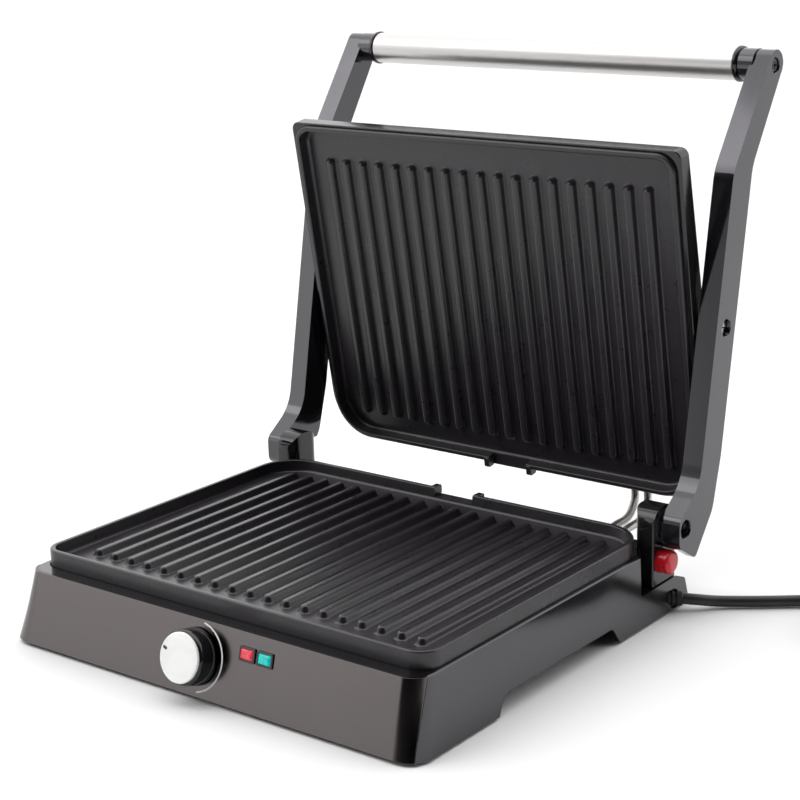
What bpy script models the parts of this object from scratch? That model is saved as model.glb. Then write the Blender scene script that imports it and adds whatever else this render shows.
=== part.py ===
"""Panini press: a hinged contact grill with two ribbed plates, a tilting lid and a flat-open release.

Units are metres. X runs to the right, Y to the back and Z up. The drawing's own zero is on the
table under the middle of the lower plate; the finished model is shifted so that zero is under
the middle of the whole grill.
"""

import math

import bmesh
import bpy
from mathutils import Matrix, Vector

# ---- grill plates (the upper one is the lower one turned over) ------------------------------
PLATE_HALF_X = 0.1450
PLATE_HALF_Y = 0.1134
PLATE_TOP_Z = 0.0543
PLATE_DEEP = 0.0124
FLOOR_BELOW_RIM = 0.0080
RIM_WALL = 0.0032
RIM_DRAFT = 0.0012
FRONT_CORNER_R = 0.0125
HINGE_CORNER_R = 0.0280
RIB_COUNT = 19
RIB_PITCH = 0.0136
RIB_FRONT_Y = -0.0905
RIB_BACK_Y = 0.0970
RIB_FOOT_HALF = 0.0036
RIB_TOP_HALF = 0.0018
RIB_HIGH = 0.0040
SPOUT_HALF_X = 0.0150
NUB_HALF_X = 0.0020
NUB_OUT = 0.0046
SPOUT_LIP = 0.0040

# ---- base -----------------------------------------------------------------------------------
DECK_Z = 0.0438
PLATE_BED_Z = 0.0416
PLATE_BED_GAP = 0.0006
DECK_HALF_X = 0.1473
FLOOR_HALF_X = 0.1533
FLARE = (FLOOR_HALF_X - DECK_HALF_X) / DECK_Z
PANEL_FOOT_Y = -0.1359
PANEL_TOP_Y = -0.1235
PANEL_LEAN = math.atan2(PANEL_TOP_Y - PANEL_FOOT_Y, DECK_Z)
FASCIA_THICK = 0.0013
FASCIA_LEVELS = (0.0018, 0.0158, 0.0298, DECK_Z)
# Each front corner at table height and at the deck: where the flat front ends (x), the seam
# between the metal panel and the side (x, y), and where the side turns straight (y).
CORNER_AT_FOOT = (0.1376, 0.1496, -0.1327, -0.1240)
CORNER_AT_DECK = (0.1358, 0.1467, -0.1148, -0.1090)
CAVITY_CORNER_R = 0.0140
WALL = 0.0026
SHELL_GROUND = 0.0015
NOTCH_Y = 0.0950
NOTCH_Z = 0.0198
REAR_Y = 0.1466
DECK_BLOCK_HALF_X = 0.1310
DECK_BLOCK_BACK_Y = 0.1268
GAP = 0.0003

# ---- knob and lamps, in the sloping panel's own frame (x, up the slope) ----------------------
KNOB_X = -0.0046
KNOB_UP = 0.0243
KNOB_R = 0.0165
KNOB_HIGH = 0.0128
KNOB_CAP_R = 0.0143
CAP_PROUD = 0.0012
CAP_EDGE = 0.0006
SPINDLE_R = 0.0030
LAMP_UP = 0.0337
LAMP_X = (0.0327, 0.0455)
LAMP_HALF_X = 0.0046
LAMP_HALF_UP = 0.0031
LAMP_FRAME = 0.0011

# ---- hinge, arms and handle -----------------------------------------------------------------
HINGE_Y = 0.1225
HINGE_Z = 0.0567
ARM_IN_X = 0.1505
ARM_OUT_X = 0.1636
POST_IN_X = 0.1345
POST_OUT_X = 0.1493
POST_FRONT_Y = 0.1085
POST_BACK_Y = 0.1354
POST_TOP_Z = 0.0697
POST_INNER_EDGE_R = 0.0080
DISC_R = 0.0108
DISC_LONG = 0.0104
AXLE_R = 0.0030
RELIEF_R = 0.0136
RELIEF_OUT_X = 0.1586
PIN_Y = 0.1683
PIN_Z = 0.1718
PIN_R = 0.0026
HANDLE_Y = 0.2240
HANDLE_Z = 0.3235
TUBE_R = 0.0103
TUBE_HALF = 0.1390
COLLAR_R = 0.0111
COLLAR_LONG = 0.0030
BUTTON_Y = 0.1176
BUTTON_Z = 0.0357
BUTTON_R = 0.0074
BUTTON_OUT_X = 0.1582

# ---- lid (drawn level, rim plane down, as when it is closed; origin on the pivot pins) -------
LID_ANGLE = math.radians(99.8 - 180.0)
RIM_BELOW_PIN = 0.0164
PLATE_BEHIND_PIN = 0.0015
HOUSING_HALF_X = 0.1485
HOUSING_PAST_PLATE = 0.0016
HOUSING_FRONT_R = 0.0050
HOUSING_HINGE_R = 0.0320
HOUSING_LIP = 0.0030
HOUSING_FRONT_DEEP = 0.0138
HOUSING_HINGE_DEEP = 0.0242
HOUSING_CROWN = 0.0090

# ---- cord -----------------------------------------------------------------------------------
CORD_R = 0.0035
CORD_ANGLE = math.radians(34.0)
BOOT_START = (0.1347, 0.1176, 0.0077)
BOOT_LONG = 0.0262
COIL_R = 0.0375
COIL_HALF = 0.0070
COIL_X = 0.2760
COIL_Y = 0.1726

KNOB_FACE_Y = PANEL_FOOT_Y + KNOB_UP * math.sin(PANEL_LEAN)
KNOB_FACE_Y -= (KNOB_HIGH + CAP_PROUD) * math.cos(PANEL_LEAN)
KNOB_FACE_Y -= (KNOB_CAP_R - CAP_EDGE) * math.sin(PANEL_LEAN)
MIDDLE_Y = (KNOB_FACE_Y + HANDLE_Y + COLLAR_R) / 2

HINGE = Vector((0, HINGE_Y, HINGE_Z))
PIN = Vector((0, PIN_Y, PIN_Z))
PANEL = Matrix.Translation((0, PANEL_FOOT_Y, 0)) @ Matrix.Rotation(math.pi / 2 - PANEL_LEAN, 4, "X")
LID = Matrix.Translation(PIN) @ Matrix.Rotation(LID_ANGLE, 4, "X")
ALONG_X = Matrix.Rotation(math.pi / 2, 4, "Y")

FINISHES = {
    "gloss_black": ((0.020, 0.020, 0.022), 0.18, 0.0),
    "housing_black": ((0.024, 0.024, 0.026), 0.22, 0.0),
    "nonstick": ((0.030, 0.029, 0.031), 0.42, 0.0),
    "titanium": ((0.105, 0.095, 0.095), 0.34, 0.7),
    "stainless": ((0.72, 0.72, 0.73), 0.28, 1.0),
    "zinc": ((0.60, 0.60, 0.62), 0.35, 1.0),
    "aluminium": ((0.75, 0.75, 0.76), 0.40, 1.0),
    "chrome": ((0.80, 0.80, 0.82), 0.10, 1.0),
    "element": ((0.22, 0.21, 0.20), 0.55, 0.8),
    "red_button": ((0.75, 0.012, 0.020), 0.20, 0.0),
    "white_cap": ((0.86, 0.86, 0.85), 0.25, 0.0),
    "lamp_red": ((0.75, 0.05, 0.07), 0.15, 0.0),
    "lamp_green": ((0.0, 0.45, 0.42), 0.15, 0.0),
    "dark_plastic": ((0.035, 0.035, 0.037), 0.50, 0.0),
    "phenolic": ((0.06, 0.045, 0.035), 0.55, 0.0),
    "rubber": ((0.030, 0.030, 0.030), 0.80, 0.0),
    "cord": ((0.025, 0.025, 0.026), 0.55, 0.0),
}


# ---- tools ------------------------------------------------------------------------------------


def clear_scene():
    for old in list(bpy.data.objects):
        bpy.data.objects.remove(old, do_unlink=True)


def finish_material(name):
    """The Principled material of one finish, made the first time it is asked for."""
    found = bpy.data.materials.get(name)
    if found:
        return found
    colour, roughness, metallic = FINISHES[name]
    made = bpy.data.materials.new(name)
    made.use_nodes = True
    shader = made.node_tree.nodes["Principled BSDF"]
    shader.inputs["Base Color"].default_value = (*colour, 1.0)
    shader.inputs["Roughness"].default_value = roughness
    shader.inputs["Metallic"].default_value = metallic
    made.diffuse_color = (*colour, 1.0)
    return made


def group(name, place, parent=None):
    """An empty that carries pieces; place is where it stands in the drawing."""
    empty = bpy.data.objects.new(name, None)
    bpy.context.collection.objects.link(empty)
    empty.location = place
    if parent:
        empty.parent = parent
        empty.location = Vector(place) - Vector(parent["place"])
    empty["place"] = Vector(place)
    return empty


def add(name, shape, finish, carrier, smooth_deg=35):
    """Turn a bmesh drawn in drawing coordinates into a named piece carried by an empty."""
    bmesh.ops.recalc_face_normals(shape, faces=shape.faces)
    mesh = bpy.data.meshes.new(name)
    shape.to_mesh(mesh)
    shape.free()
    mesh.transform(Matrix.Translation(-Vector(carrier["place"])))
    mesh.materials.append(finish_material(finish))
    piece = bpy.data.objects.new(name, mesh)
    bpy.context.collection.objects.link(piece)
    piece.parent = carrier
    mesh.shade_smooth()
    mesh.set_sharp_from_angle(angle=math.radians(smooth_deg))
    return piece


def combine(shape, tool, operation):
    """One exact Boolean of two shapes; both are used up and the result is returned."""
    holders = []
    for part in (shape, tool):
        mesh = bpy.data.meshes.new("boolean")
        bmesh.ops.recalc_face_normals(part, faces=part.faces)
        part.to_mesh(mesh)
        part.free()
        holder = bpy.data.objects.new("boolean", mesh)
        bpy.context.collection.objects.link(holder)
        holders.append(holder)
    target, cutter = holders
    step = target.modifiers.new("step", "BOOLEAN")
    step.operation = operation
    step.solver = "EXACT"
    step.object = cutter
    cutter.hide_render = True
    cutter.display_type = "WIRE"
    result = bmesh.new()
    result.from_object(target, bpy.context.evaluated_depsgraph_get())
    for holder in holders:
        mesh = holder.data
        bpy.data.objects.remove(holder, do_unlink=True)
        bpy.data.meshes.remove(mesh)
    bmesh.ops.dissolve_degenerate(result, edges=result.edges, dist=0.000002)
    return result


def minus(shape, *tools):
    for tool in tools:
        shape = combine(shape, tool, "DIFFERENCE")
    return shape


def plus(shape, *tools):
    for tool in tools:
        shape = combine(shape, tool, "UNION")
    return shape


def moved(shape, matrix):
    bmesh.ops.transform(shape, matrix=matrix, verts=shape.verts)
    return shape


def rounded(corners, steps=4):
    """A closed outline from (u, v, radius) corners, with an arc of the radius at each corner."""
    outline = []
    for k, (u, v, radius) in enumerate(corners):
        here = Vector((u, v))
        back = (Vector(corners[k - 1][:2]) - here).normalized()
        ahead = (Vector(corners[(k + 1) % len(corners)][:2]) - here).normalized()
        if radius == 0:
            outline.append(here)
            continue
        half = back.angle(ahead) / 2
        centre = here + (back + ahead).normalized() * (radius / math.sin(half))
        first = here + back * (radius / math.tan(half)) - centre
        last = here + ahead * (radius / math.tan(half)) - centre
        sweep = first.angle_signed(last)
        for n in range(steps + 1):
            turn = -sweep * n / steps
            spun = Matrix.Rotation(turn, 2) @ first
            outline.append(centre + spun)
    return outline


def prism(outline, low, high, matrix=None):
    """A closed outline in the XY plane, extruded from Z = low to Z = high, then placed."""
    shape = bmesh.new()
    rings = [[shape.verts.new((p[0], p[1], z)) for p in outline] for z in (low, high)]
    shape.faces.new(rings[0][::-1])
    shape.faces.new(rings[1])
    bridge(shape, rings[0], rings[1])
    return moved(shape, matrix) if matrix else shape


def bridge(shape, lower, upper):
    for k in range(len(lower)):
        n = (k + 1) % len(lower)
        shape.faces.new((lower[k], lower[n], upper[n], upper[k]))


def side_prism(outline, low_x, high_x):
    """A (y, z) outline extruded along X."""
    turn = Matrix(((0, 0, 1, 0), (1, 0, 0, 0), (0, 1, 0, 0), (0, 0, 0, 1)))
    return prism(outline, low_x, high_x, turn)


def flared_prism(outline, foot_half_x):
    """A (y, z) outline between two side walls that lean in by FLARE as they rise."""
    shape = bmesh.new()
    sides = []
    for side in (-1, 1):
        ring = [shape.verts.new((side * (foot_half_x - FLARE * z), y, z)) for y, z in outline]
        sides.append(ring)
    shape.faces.new(sides[0][::-1])
    shape.faces.new(sides[1])
    bridge(shape, sides[0], sides[1])
    return shape


def box(low, high):
    outline = [(low[0], low[1]), (high[0], low[1]), (high[0], high[1]), (low[0], high[1])]
    return prism(outline, low[2], high[2])


def turned(profile, matrix, sides=28):
    """A solid of revolution about Z from (radius, height) points, then placed.

    A profile that starts and ends on the axis is a plug; any other profile closes into a ring.
    """
    shape = bmesh.new()
    rings = []
    for radius, height in profile:
        if radius == 0:
            rings.append([shape.verts.new((0, 0, height))])
            continue
        turns = [2 * math.pi * k / sides for k in range(sides)]
        ring = [shape.verts.new((radius * math.cos(a), radius * math.sin(a), height)) for a in turns]
        rings.append(ring)
    hollow = profile[0][0] > 0
    pairs = list(zip(rings, rings[1:] + rings[:1] if hollow else rings[1:]))
    for lower, upper in pairs:
        if len(lower) == 1 or len(upper) == 1:
            tip, ring = (lower, upper) if len(lower) == 1 else (upper, lower)
            for k in range(sides):
                shape.faces.new((tip[0], ring[k], ring[(k + 1) % sides]))
        else:
            bridge(shape, lower, upper)
    return moved(shape, matrix)


def cylinder(radius, low, high, matrix, sides=28):
    return turned([(0, low), (radius, low), (radius, high), (0, high)], matrix, sides)


def ring(inner, outer, low, high, matrix, sides=28):
    profile = [(inner, low), (outer, low), (outer, high), (inner, high)]
    return turned(profile, matrix, sides)


def across(y, z):
    """Places a turned shape with its axis along X through (y, z)."""
    return Matrix.Translation((0, y, z)) @ ALONG_X


def plan_loop(half_x, front, back, front_r, back_r, steps=5):
    """A rounded rectangle in plan, always with the same number of points."""
    corners = [
        (-half_x, front, front_r),
        (half_x, front, front_r),
        (half_x, back, back_r),
        (-half_x, back, back_r),
    ]
    return rounded(corners, steps)


def loft(loops):
    """A closed solid through loops of (x, y, z) points, capped at both ends."""
    shape = bmesh.new()
    rings = [[shape.verts.new(p) for p in loop] for loop in loops]
    shape.faces.new(rings[0][::-1])
    shape.faces.new(rings[-1])
    for lower, upper in zip(rings, rings[1:]):
        bridge(shape, lower, upper)
    return shape


def twisted_loft(loops):
    """A loft whose side faces aren't flat, cut into triangles so that later cuts stay exact."""
    shape = loft(loops)
    bmesh.ops.triangulate(shape, faces=shape.faces)
    return shape


def curve_through(points, spacing):
    """Evenly spaced points along a smooth centripetal curve through the given ones."""
    ends = [points[0] * 2 - points[1], *points, points[-1] * 2 - points[-2]]
    fine = []
    for a, b, c, d in zip(ends, ends[1:], ends[2:], ends[3:]):
        for n in range(40):
            t = n / 40
            fine.append(
                0.5 * (2 * b + (c - a) * t + (2 * a - 5 * b + 4 * c - d) * t**2)
                + 0.5 * (3 * b - a - 3 * c + d) * t**3
            )
    fine.append(points[-1].copy())
    total = sum((q - p).length for p, q in zip(fine, fine[1:]))
    count = max(2, round(total / spacing))
    even, gone, k = [fine[0]], 0.0, 0
    for n in range(1, count):
        want = total * n / count
        while gone + (fine[k + 1] - fine[k]).length < want:
            gone += (fine[k + 1] - fine[k]).length
            k += 1
        share = (want - gone) / (fine[k + 1] - fine[k]).length
        even.append(fine[k].lerp(fine[k + 1], share))
    return [*even, fine[-1]]


def add_wire(name, points, radius, finish, carrier, resolution=2):
    """A round wire along a list of points, as a curve object with filled caps."""
    curve = bpy.data.curves.new(name, "CURVE")
    curve.dimensions = "3D"
    curve.bevel_depth = radius
    curve.bevel_resolution = resolution
    curve.use_fill_caps = True
    spline = curve.splines.new("POLY")
    spline.points.add(len(points) - 1)
    for point, place in zip(spline.points, points):
        point.co = (*(place - Vector(carrier["place"])), 1)
    curve.materials.append(finish_material(finish))
    wire = bpy.data.objects.new(name, curve)
    bpy.context.collection.objects.link(wire)
    wire.parent = carrier
    return wire


# ---- grill plates and what lies behind them ---------------------------------------------------


def rib(x, half_low, half_high, top):
    """One rib: a long ridge with round ends that narrows towards its top."""
    loops = []
    for half, z in ((half_low + 0.0002, -FLOOR_BELOW_RIM - 0.0005), (half_high, top)):
        front, back = RIB_FRONT_Y + half_low - half, RIB_BACK_Y - half_low + half
        loop = plan_loop(half, front, back, half * 0.98, half * 0.98, 2)
        loops.append([(x + p[0], p[1], z) for p in loop])
    return loft(loops)


def plate_shape():
    """The plate with its rim plane at Z = 0, cooking side up and hinge side at +Y."""

    def loop(inset, z):
        x, y = PLATE_HALF_X - inset, PLATE_HALF_Y - inset
        points = plan_loop(x, -y, y, FRONT_CORNER_R - inset, HINGE_CORNER_R - inset, 5)
        return [(p[0], p[1], z) for p in points]

    shape = loft(
        [
            loop(0.0, -PLATE_DEEP),
            loop(0.0, -0.0008),
            loop(0.0008, 0.0),
            loop(RIM_WALL, 0.0),
            loop(RIM_WALL + RIM_DRAFT, -FLOOR_BELOW_RIM),
        ]
    )
    spout = box((-SPOUT_HALF_X, PLATE_HALF_Y - 0.0100, -0.0058), (SPOUT_HALF_X, PLATE_HALF_Y + 0.01, 0.01))
    lip = [
        (PLATE_HALF_Y - 0.0025, -0.0098),
        (PLATE_HALF_Y + 0.0012, -0.0098),
        (PLATE_HALF_Y + SPOUT_LIP, -0.0068),
        (PLATE_HALF_Y + SPOUT_LIP, -0.0058),
        (PLATE_HALF_Y - 0.0025, -0.0058),
    ]
    shape = plus(minus(shape, spout), side_prism(lip, -SPOUT_HALF_X - 0.0005, SPOUT_HALF_X + 0.0005))
    for side in (-1, 1):
        x = side * (SPOUT_HALF_X + NUB_HALF_X)
        back = PLATE_HALF_Y + NUB_OUT
        outline = [
            (PLATE_HALF_Y - 0.0025, -0.0100, 0),
            (PLATE_HALF_Y + 0.0010, -0.0100, 0),
            (back, -0.0050, 0.001),
            (back, 0.0004, 0.0015),
            (PLATE_HALF_Y - 0.0025, 0.0004, 0.0008),
        ]
        nub = side_prism(rounded(outline, 2), x - NUB_HALF_X, x + NUB_HALF_X)
        shape = plus(shape, nub)
    ribs = None
    for k in range(RIB_COUNT):
        x = (k - (RIB_COUNT - 1) / 2) * RIB_PITCH
        one = rib(x, RIB_FOOT_HALF, RIB_TOP_HALF, -FLOOR_BELOW_RIM + RIB_HIGH)
        if ribs is None:
            ribs = one
            continue
        mesh = bpy.data.meshes.new("rib")
        one.to_mesh(mesh)
        one.free()
        ribs.from_mesh(mesh)
        bpy.data.meshes.remove(mesh)
    return plus(shape, ribs)


def element_path(z):
    """The heating rod's route: one bent rod round the plate with both cold ends at the hinge side."""
    outer = [
        (-0.030, 0.086, 0.0),
        (-0.112, 0.086, 0.024),
        (-0.112, -0.078, 0.024),
        (0.112, -0.078, 0.024),
        (0.112, 0.086, 0.024),
        (0.030, 0.086, 0.0),
    ]
    bends = rounded(outer, 4)
    return [Vector((p[0], p[1], z)) for p in bends]


def tray_shape(half_x, half_y, z, thick=0.0008, lip=0.0040):
    """A shallow sheet tray with its lip pointing to +Z."""

    def loop(inset, height):
        points = plan_loop(half_x - inset, inset - half_y, half_y - inset, 0.012, 0.020, 3)
        return [(p[0], p[1], height) for p in points]

    return loft([loop(0.0, z), loop(0.0, z + lip), loop(thick, z + lip), loop(thick, z + thick)])


# ---- base -------------------------------------------------------------------------------------


def panel_y(z, behind=0.0):
    """Where a plane behind the front panel's face meets height z."""
    return PANEL_FOOT_Y + z * math.tan(PANEL_LEAN) + behind / math.cos(PANEL_LEAN)


def shell_outline():
    """The base in side view, with the arches between its feet and the notch for the hinges."""
    return [
        (-0.160, SHELL_GROUND),
        (-0.160, DECK_Z),
        (NOTCH_Y + 0.0018, DECK_Z),
        (NOTCH_Y - 0.0020, NOTCH_Z),
        (0.1348, NOTCH_Z + 0.0006),
        (REAR_Y - 0.0018, 0.0165),
        (REAR_Y, SHELL_GROUND),
        (0.0648, SHELL_GROUND),
        (0.0584, 0.0115),
        (-0.0489, 0.0122),
        (-0.0535, 0.0108),
        (-0.0600, SHELL_GROUND),
    ]


def corner_measures(z):
    """The front corner's four measures at height z."""
    share = z / DECK_Z
    return [foot + (deck - foot) * share for foot, deck in zip(CORNER_AT_FOOT, CORNER_AT_DECK)]


def corner_arc(z, steps=6):
    """The right front corner at height z: points from the flat front to the seam, with normals."""
    flat_x, seam_x, seam_y, _ = corner_measures(z)
    front = panel_y(z)
    wide, deep = seam_x - flat_x, seam_y - front
    radius = (wide**2 + deep**2) / (2 * deep)
    turns = [math.asin(wide / radius) * k / steps for k in range(steps + 1)]
    normals = [Vector((math.sin(turn), -math.cos(turn))) for turn in turns]
    centre = Vector((flat_x, front + radius))
    return [(centre + normal * radius, normal) for normal in normals]


def both_sides(right, z):
    """Mirrors a run of plan points to the left and sets it at height z, from left to right."""
    return [(-p.x, p.y, z) for p in right[::-1]] + [(p.x, p.y, z) for p in right]


def base_loop(z):
    """The base's outline in plan at height z."""
    half = FLOOR_HALF_X - FLARE * z
    right = [point for point, _ in corner_arc(z)]
    right += [Vector((half, corner_measures(z)[3])), Vector((half, 0.170))]
    return both_sides(right, z)


def panel_strip(levels, out, behind, beyond):
    """A strip along the front and round both corners, between two offsets from the panel's face."""
    loops = []
    for z in levels:
        arc = corner_arc(z)
        normal = arc[-1][1]
        ahead = Vector((-normal.y, normal.x)) * beyond
        outer = [point + normal * out for point, normal in arc]
        inner = [point - normal * behind for point, normal in arc]
        outer[-1] += ahead
        inner[-1] += ahead
        loops.append(both_sides(outer, z) + both_sides(inner, z)[::-1])
    return twisted_loft(loops)


def cavity_shape():
    """The hollow under the deck, open below."""
    roof = PLATE_BED_Z - WALL
    main_back = NOTCH_Y - WALL
    loops = []
    for z in (-0.01, roof):
        half, front = FLOOR_HALF_X - FLARE * z - WALL, panel_y(z, WALL + FASCIA_THICK)
        plan = plan_loop(half, front, main_back, CAVITY_CORNER_R, 0.002, 6)
        loops.append([(p[0], p[1], z) for p in plan])
    main = loft(loops)
    rear = flared_prism(
        [
            (main_back - 0.002, -0.01),
            (main_back - 0.002, NOTCH_Z - WALL),
            (0.1345, NOTCH_Z - WALL),
            (REAR_Y - WALL - 0.0018, 0.0165 - WALL),
            (REAR_Y - WALL, -0.01),
        ],
        FLOOR_HALF_X - WALL,
    )
    half = DECK_BLOCK_HALF_X - WALL
    block = box((-half, main_back - 0.004, 0.005), (half, DECK_BLOCK_BACK_Y - WALL, roof))
    return plus(main, rear, block)


def in_panel(shape):
    return moved(shape, PANEL)


def make_base_shell(carrier):
    shape = twisted_loft([base_loop(0.0), base_loop(DECK_Z + 0.005)])
    shape = combine(shape, side_prism(shell_outline(), -0.17, 0.17), "INTERSECT")
    half = DECK_BLOCK_HALF_X
    block = box((-half, NOTCH_Y - 0.01, 0.006), (half, DECK_BLOCK_BACK_Y, PLATE_BED_Z))
    shape = plus(shape, block)
    levels = (-0.005, *FASCIA_LEVELS, DECK_Z + 0.006)
    shape = minus(shape, panel_strip(levels, 0.01, FASCIA_THICK + GAP, GAP))
    bed_x, bed_y = PLATE_HALF_X + PLATE_BED_GAP, PLATE_HALF_Y + PLATE_BED_GAP
    bed = [(p[0], p[1]) for p in plan_loop(bed_x, -bed_y, bed_y, FRONT_CORNER_R, HINGE_CORNER_R, 5)]
    shape = minus(shape, prism(bed, PLATE_BED_Z, 0.06))
    opening = [(p[0], p[1]) for p in plan_loop(0.1340, -0.1020, 0.1020, 0.010, 0.018, 4)]
    shape = minus(shape, cavity_shape(), prism(opening, 0.02, 0.05))
    spindle = Matrix.Translation((KNOB_X, KNOB_UP, 0))
    shape = minus(shape, in_panel(cylinder(0.0052, -0.010, 0.004, spindle, 20)))
    for x in LAMP_X:
        low = (x - LAMP_HALF_X - 0.0004, LAMP_UP - LAMP_HALF_UP - 0.0004, -0.010)
        high = (x + LAMP_HALF_X + 0.0004, LAMP_UP + LAMP_HALF_UP + 0.0004, 0.002)
        shape = minus(shape, in_panel(box(low, high)))
    shape = minus(shape, cylinder(0.0060, -0.02, BOOT_LONG + 0.01, boot_place(), 20))
    for side in (-1, 1):
        spigot = Matrix.Translation((side * (POST_IN_X + POST_OUT_X) / 2, 0.1235, 0))
        shape = minus(shape, cylinder(0.0036, 0.010, 0.030, spigot, 16))
    return add("base_shell", shape, "gloss_black", carrier)


def make_fascia(carrier):
    """The metal front panel: flat in front, bent round both corners to the seams with the sides."""
    shape = panel_strip(FASCIA_LEVELS, 0.0, FASCIA_THICK, 0.0)
    spindle = Matrix.Translation((KNOB_X, KNOB_UP, 0))
    shape = minus(shape, in_panel(cylinder(0.0050, -0.010, 0.004, spindle, 20)))
    for x in LAMP_X:
        low = (x - LAMP_HALF_X - 0.0004, LAMP_UP - LAMP_HALF_UP - 0.0004, -0.010)
        high = (x + LAMP_HALF_X + 0.0004, LAMP_UP + LAMP_HALF_UP + 0.0004, 0.002)
        shape = minus(shape, in_panel(box(low, high)))
    return add("front_fascia", shape, "titanium", carrier)


def make_lamps(carrier):
    for x, tint in zip(LAMP_X, ("red", "green")):
        frame = box(
            (x - LAMP_HALF_X - LAMP_FRAME, LAMP_UP - LAMP_HALF_UP - LAMP_FRAME, GAP),
            (x + LAMP_HALF_X + LAMP_FRAME, LAMP_UP + LAMP_HALF_UP + LAMP_FRAME, 0.0011),
        )
        hole = box(
            (x - LAMP_HALF_X, LAMP_UP - LAMP_HALF_UP, -0.01),
            (x + LAMP_HALF_X, LAMP_UP + LAMP_HALF_UP, 0.01),
        )
        add(f"lamp_frame_{tint}", in_panel(minus(frame, hole)), "gloss_black", carrier)
        slack = 0.0003
        loops = []
        for inset, n in ((slack, -0.0090), (slack, 0.0010), (slack + 0.0008, 0.0017)):
            x_half, up_half = LAMP_HALF_X - inset, LAMP_HALF_UP - inset
            loop = plan_loop(x_half, -up_half, up_half, 0.0004, 0.0004, 2)
            loops.append([(p[0] + x, p[1] + LAMP_UP, n) for p in loop])
        add(f"lamp_lens_{tint}", in_panel(loft(loops)), f"lamp_{tint}", carrier)


def make_thermostat(carrier):
    place = Matrix.Translation((KNOB_X, KNOB_UP, 0))
    back = -FASCIA_THICK - WALL - GAP
    profile = [
        (SPINDLE_R + 0.0003, back - 0.0165),
        (0.0125, back - 0.0165),
        (0.0135, back - 0.0150),
        (0.0135, back - 0.0050),
        (0.0070, back - 0.0040),
        (0.0070, back),
        (SPINDLE_R + 0.0003, back),
    ]
    add("thermostat_body", in_panel(turned(profile, place, 18)), "phenolic", carrier)


def make_bottom(carrier):
    front = panel_y(0.010, WALL + FASCIA_THICK) + 0.0008
    half = FLOOR_HALF_X - WALL - FLARE * 0.0115 - 0.0006
    back = REAR_Y - WALL - 0.0016
    outline = [(p[0], p[1]) for p in plan_loop(half, front, back, 0.0145, 0.004, 4)]
    shape = prism(outline, 0.0090, 0.0108)
    shape = minus(shape, box((KNOB_X - 0.0150, -0.14, 0.0), (KNOB_X + 0.0150, -0.1040, 0.02)))
    for k in range(5):
        x = (k - 2) * 0.020
        slot = box((x - 0.0025, -0.020, 0.0), (x + 0.0025, 0.030, 0.02))
        shape = minus(shape, slot)
    boot = cylinder(0.0062, -0.03, BOOT_LONG + 0.01, boot_place(), 16)
    shape = minus(shape, boot)
    for x, y in FEET:
        hole = cylinder(0.0028, 0.0, 0.02, Matrix.Translation((x, y, 0)), 10)
        shape = minus(shape, hole)
    add("bottom_cover", shape, "dark_plastic", carrier)


FEET = [(x, y) for x in (-0.1220, 0.1220) for y in (-0.1000, 0.1050)]
CONDUIT_X = (0.0920, 0.1015)
CONDUIT_Z = 0.0300
CONDUIT_R = 0.0027


def make_feet(carrier):
    names = ("foot_front_left", "foot_rear_left", "foot_front_right", "foot_rear_right")
    for name, (x, y) in zip(names, FEET):
        place = Matrix.Translation((x, y, 0))
        profile = [
            (0.0050, 0.0),
            (0.0085, 0.0),
            (0.0095, 0.0010),
            (0.0095, 0.0087),
            (0.0027, 0.0087),
            (0.0027, 0.0040),
            (0.0050, 0.0040),
        ]
        add(name, turned(profile, place, 16), "rubber", carrier)
        screw = [(0, 0.0012), (0.0042, 0.0012), (0.0042, 0.0034), (0.0020, 0.0037), (0.0020, 0.0200), (0, 0.0210)]
        add(name.replace("foot", "foot_screw"), turned(screw, place, 10), "zinc", carrier)


def post_outline():
    low = NOTCH_Z + 0.0010
    return [
        (POST_FRONT_Y, low, 0),
        (POST_FRONT_Y, POST_TOP_Z, 0.0110),
        (POST_BACK_Y, POST_TOP_Z, 0.0126),
        (POST_BACK_Y, low, 0),
    ]


def post_plan(side):
    """The post from above: its inner edges are well rounded to clear the lid's corners."""
    return [
        (side * POST_IN_X, POST_FRONT_Y, POST_INNER_EDGE_R),
        (side * POST_OUT_X, POST_FRONT_Y, 0.0012),
        (side * POST_OUT_X, POST_BACK_Y, 0.0012),
        (side * POST_IN_X, POST_BACK_Y, POST_INNER_EDGE_R),
    ]


def make_post(carrier, side, name):
    """The hinge post: a block with a round bore for the hinge disc, open to the outside."""
    low, high = sorted((side * POST_IN_X, side * POST_OUT_X))
    shape = side_prism(rounded(post_outline(), 6), low, high)
    plan = rounded(post_plan(side), 5)
    shape = combine(shape, prism(plan[::side], 0.0, 0.1), "INTERSECT")
    spigot = Matrix.Translation((side * (POST_IN_X + POST_OUT_X) / 2, 0.1235, 0))
    shape = plus(shape, cylinder(0.0033, 0.0145, NOTCH_Z + 0.003, spigot, 16))
    hinge = across(HINGE_Y, HINGE_Z)
    bore = sorted((side * (POST_OUT_X - DISC_LONG - 0.0008), side * (POST_OUT_X + 0.01)))
    shape = minus(shape, cylinder(DISC_R + 0.0003, *bore, hinge, 24))
    hole = sorted((side * (POST_IN_X + 0.0006), side * (POST_OUT_X + 0.01)))
    shape = minus(shape, cylinder(AXLE_R + 0.0003, *hole, hinge, 14))
    if side > 0:
        guide = (POST_OUT_X - 0.0095, POST_OUT_X + 0.01)
        shape = minus(shape, cylinder(BUTTON_R + 0.0003, *guide, across(BUTTON_Y, BUTTON_Z), 20))
    recess = box((-0.0045, 0, 0), (0.0045, 0.0007, 0.0095))
    middle = side * (POST_IN_X + POST_OUT_X + 0.0040) / 2
    shape = minus(shape, moved(recess, Matrix.Translation((middle, POST_FRONT_Y - 0.0003, 0.0400))))
    add(name, shape, "gloss_black", carrier)


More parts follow.
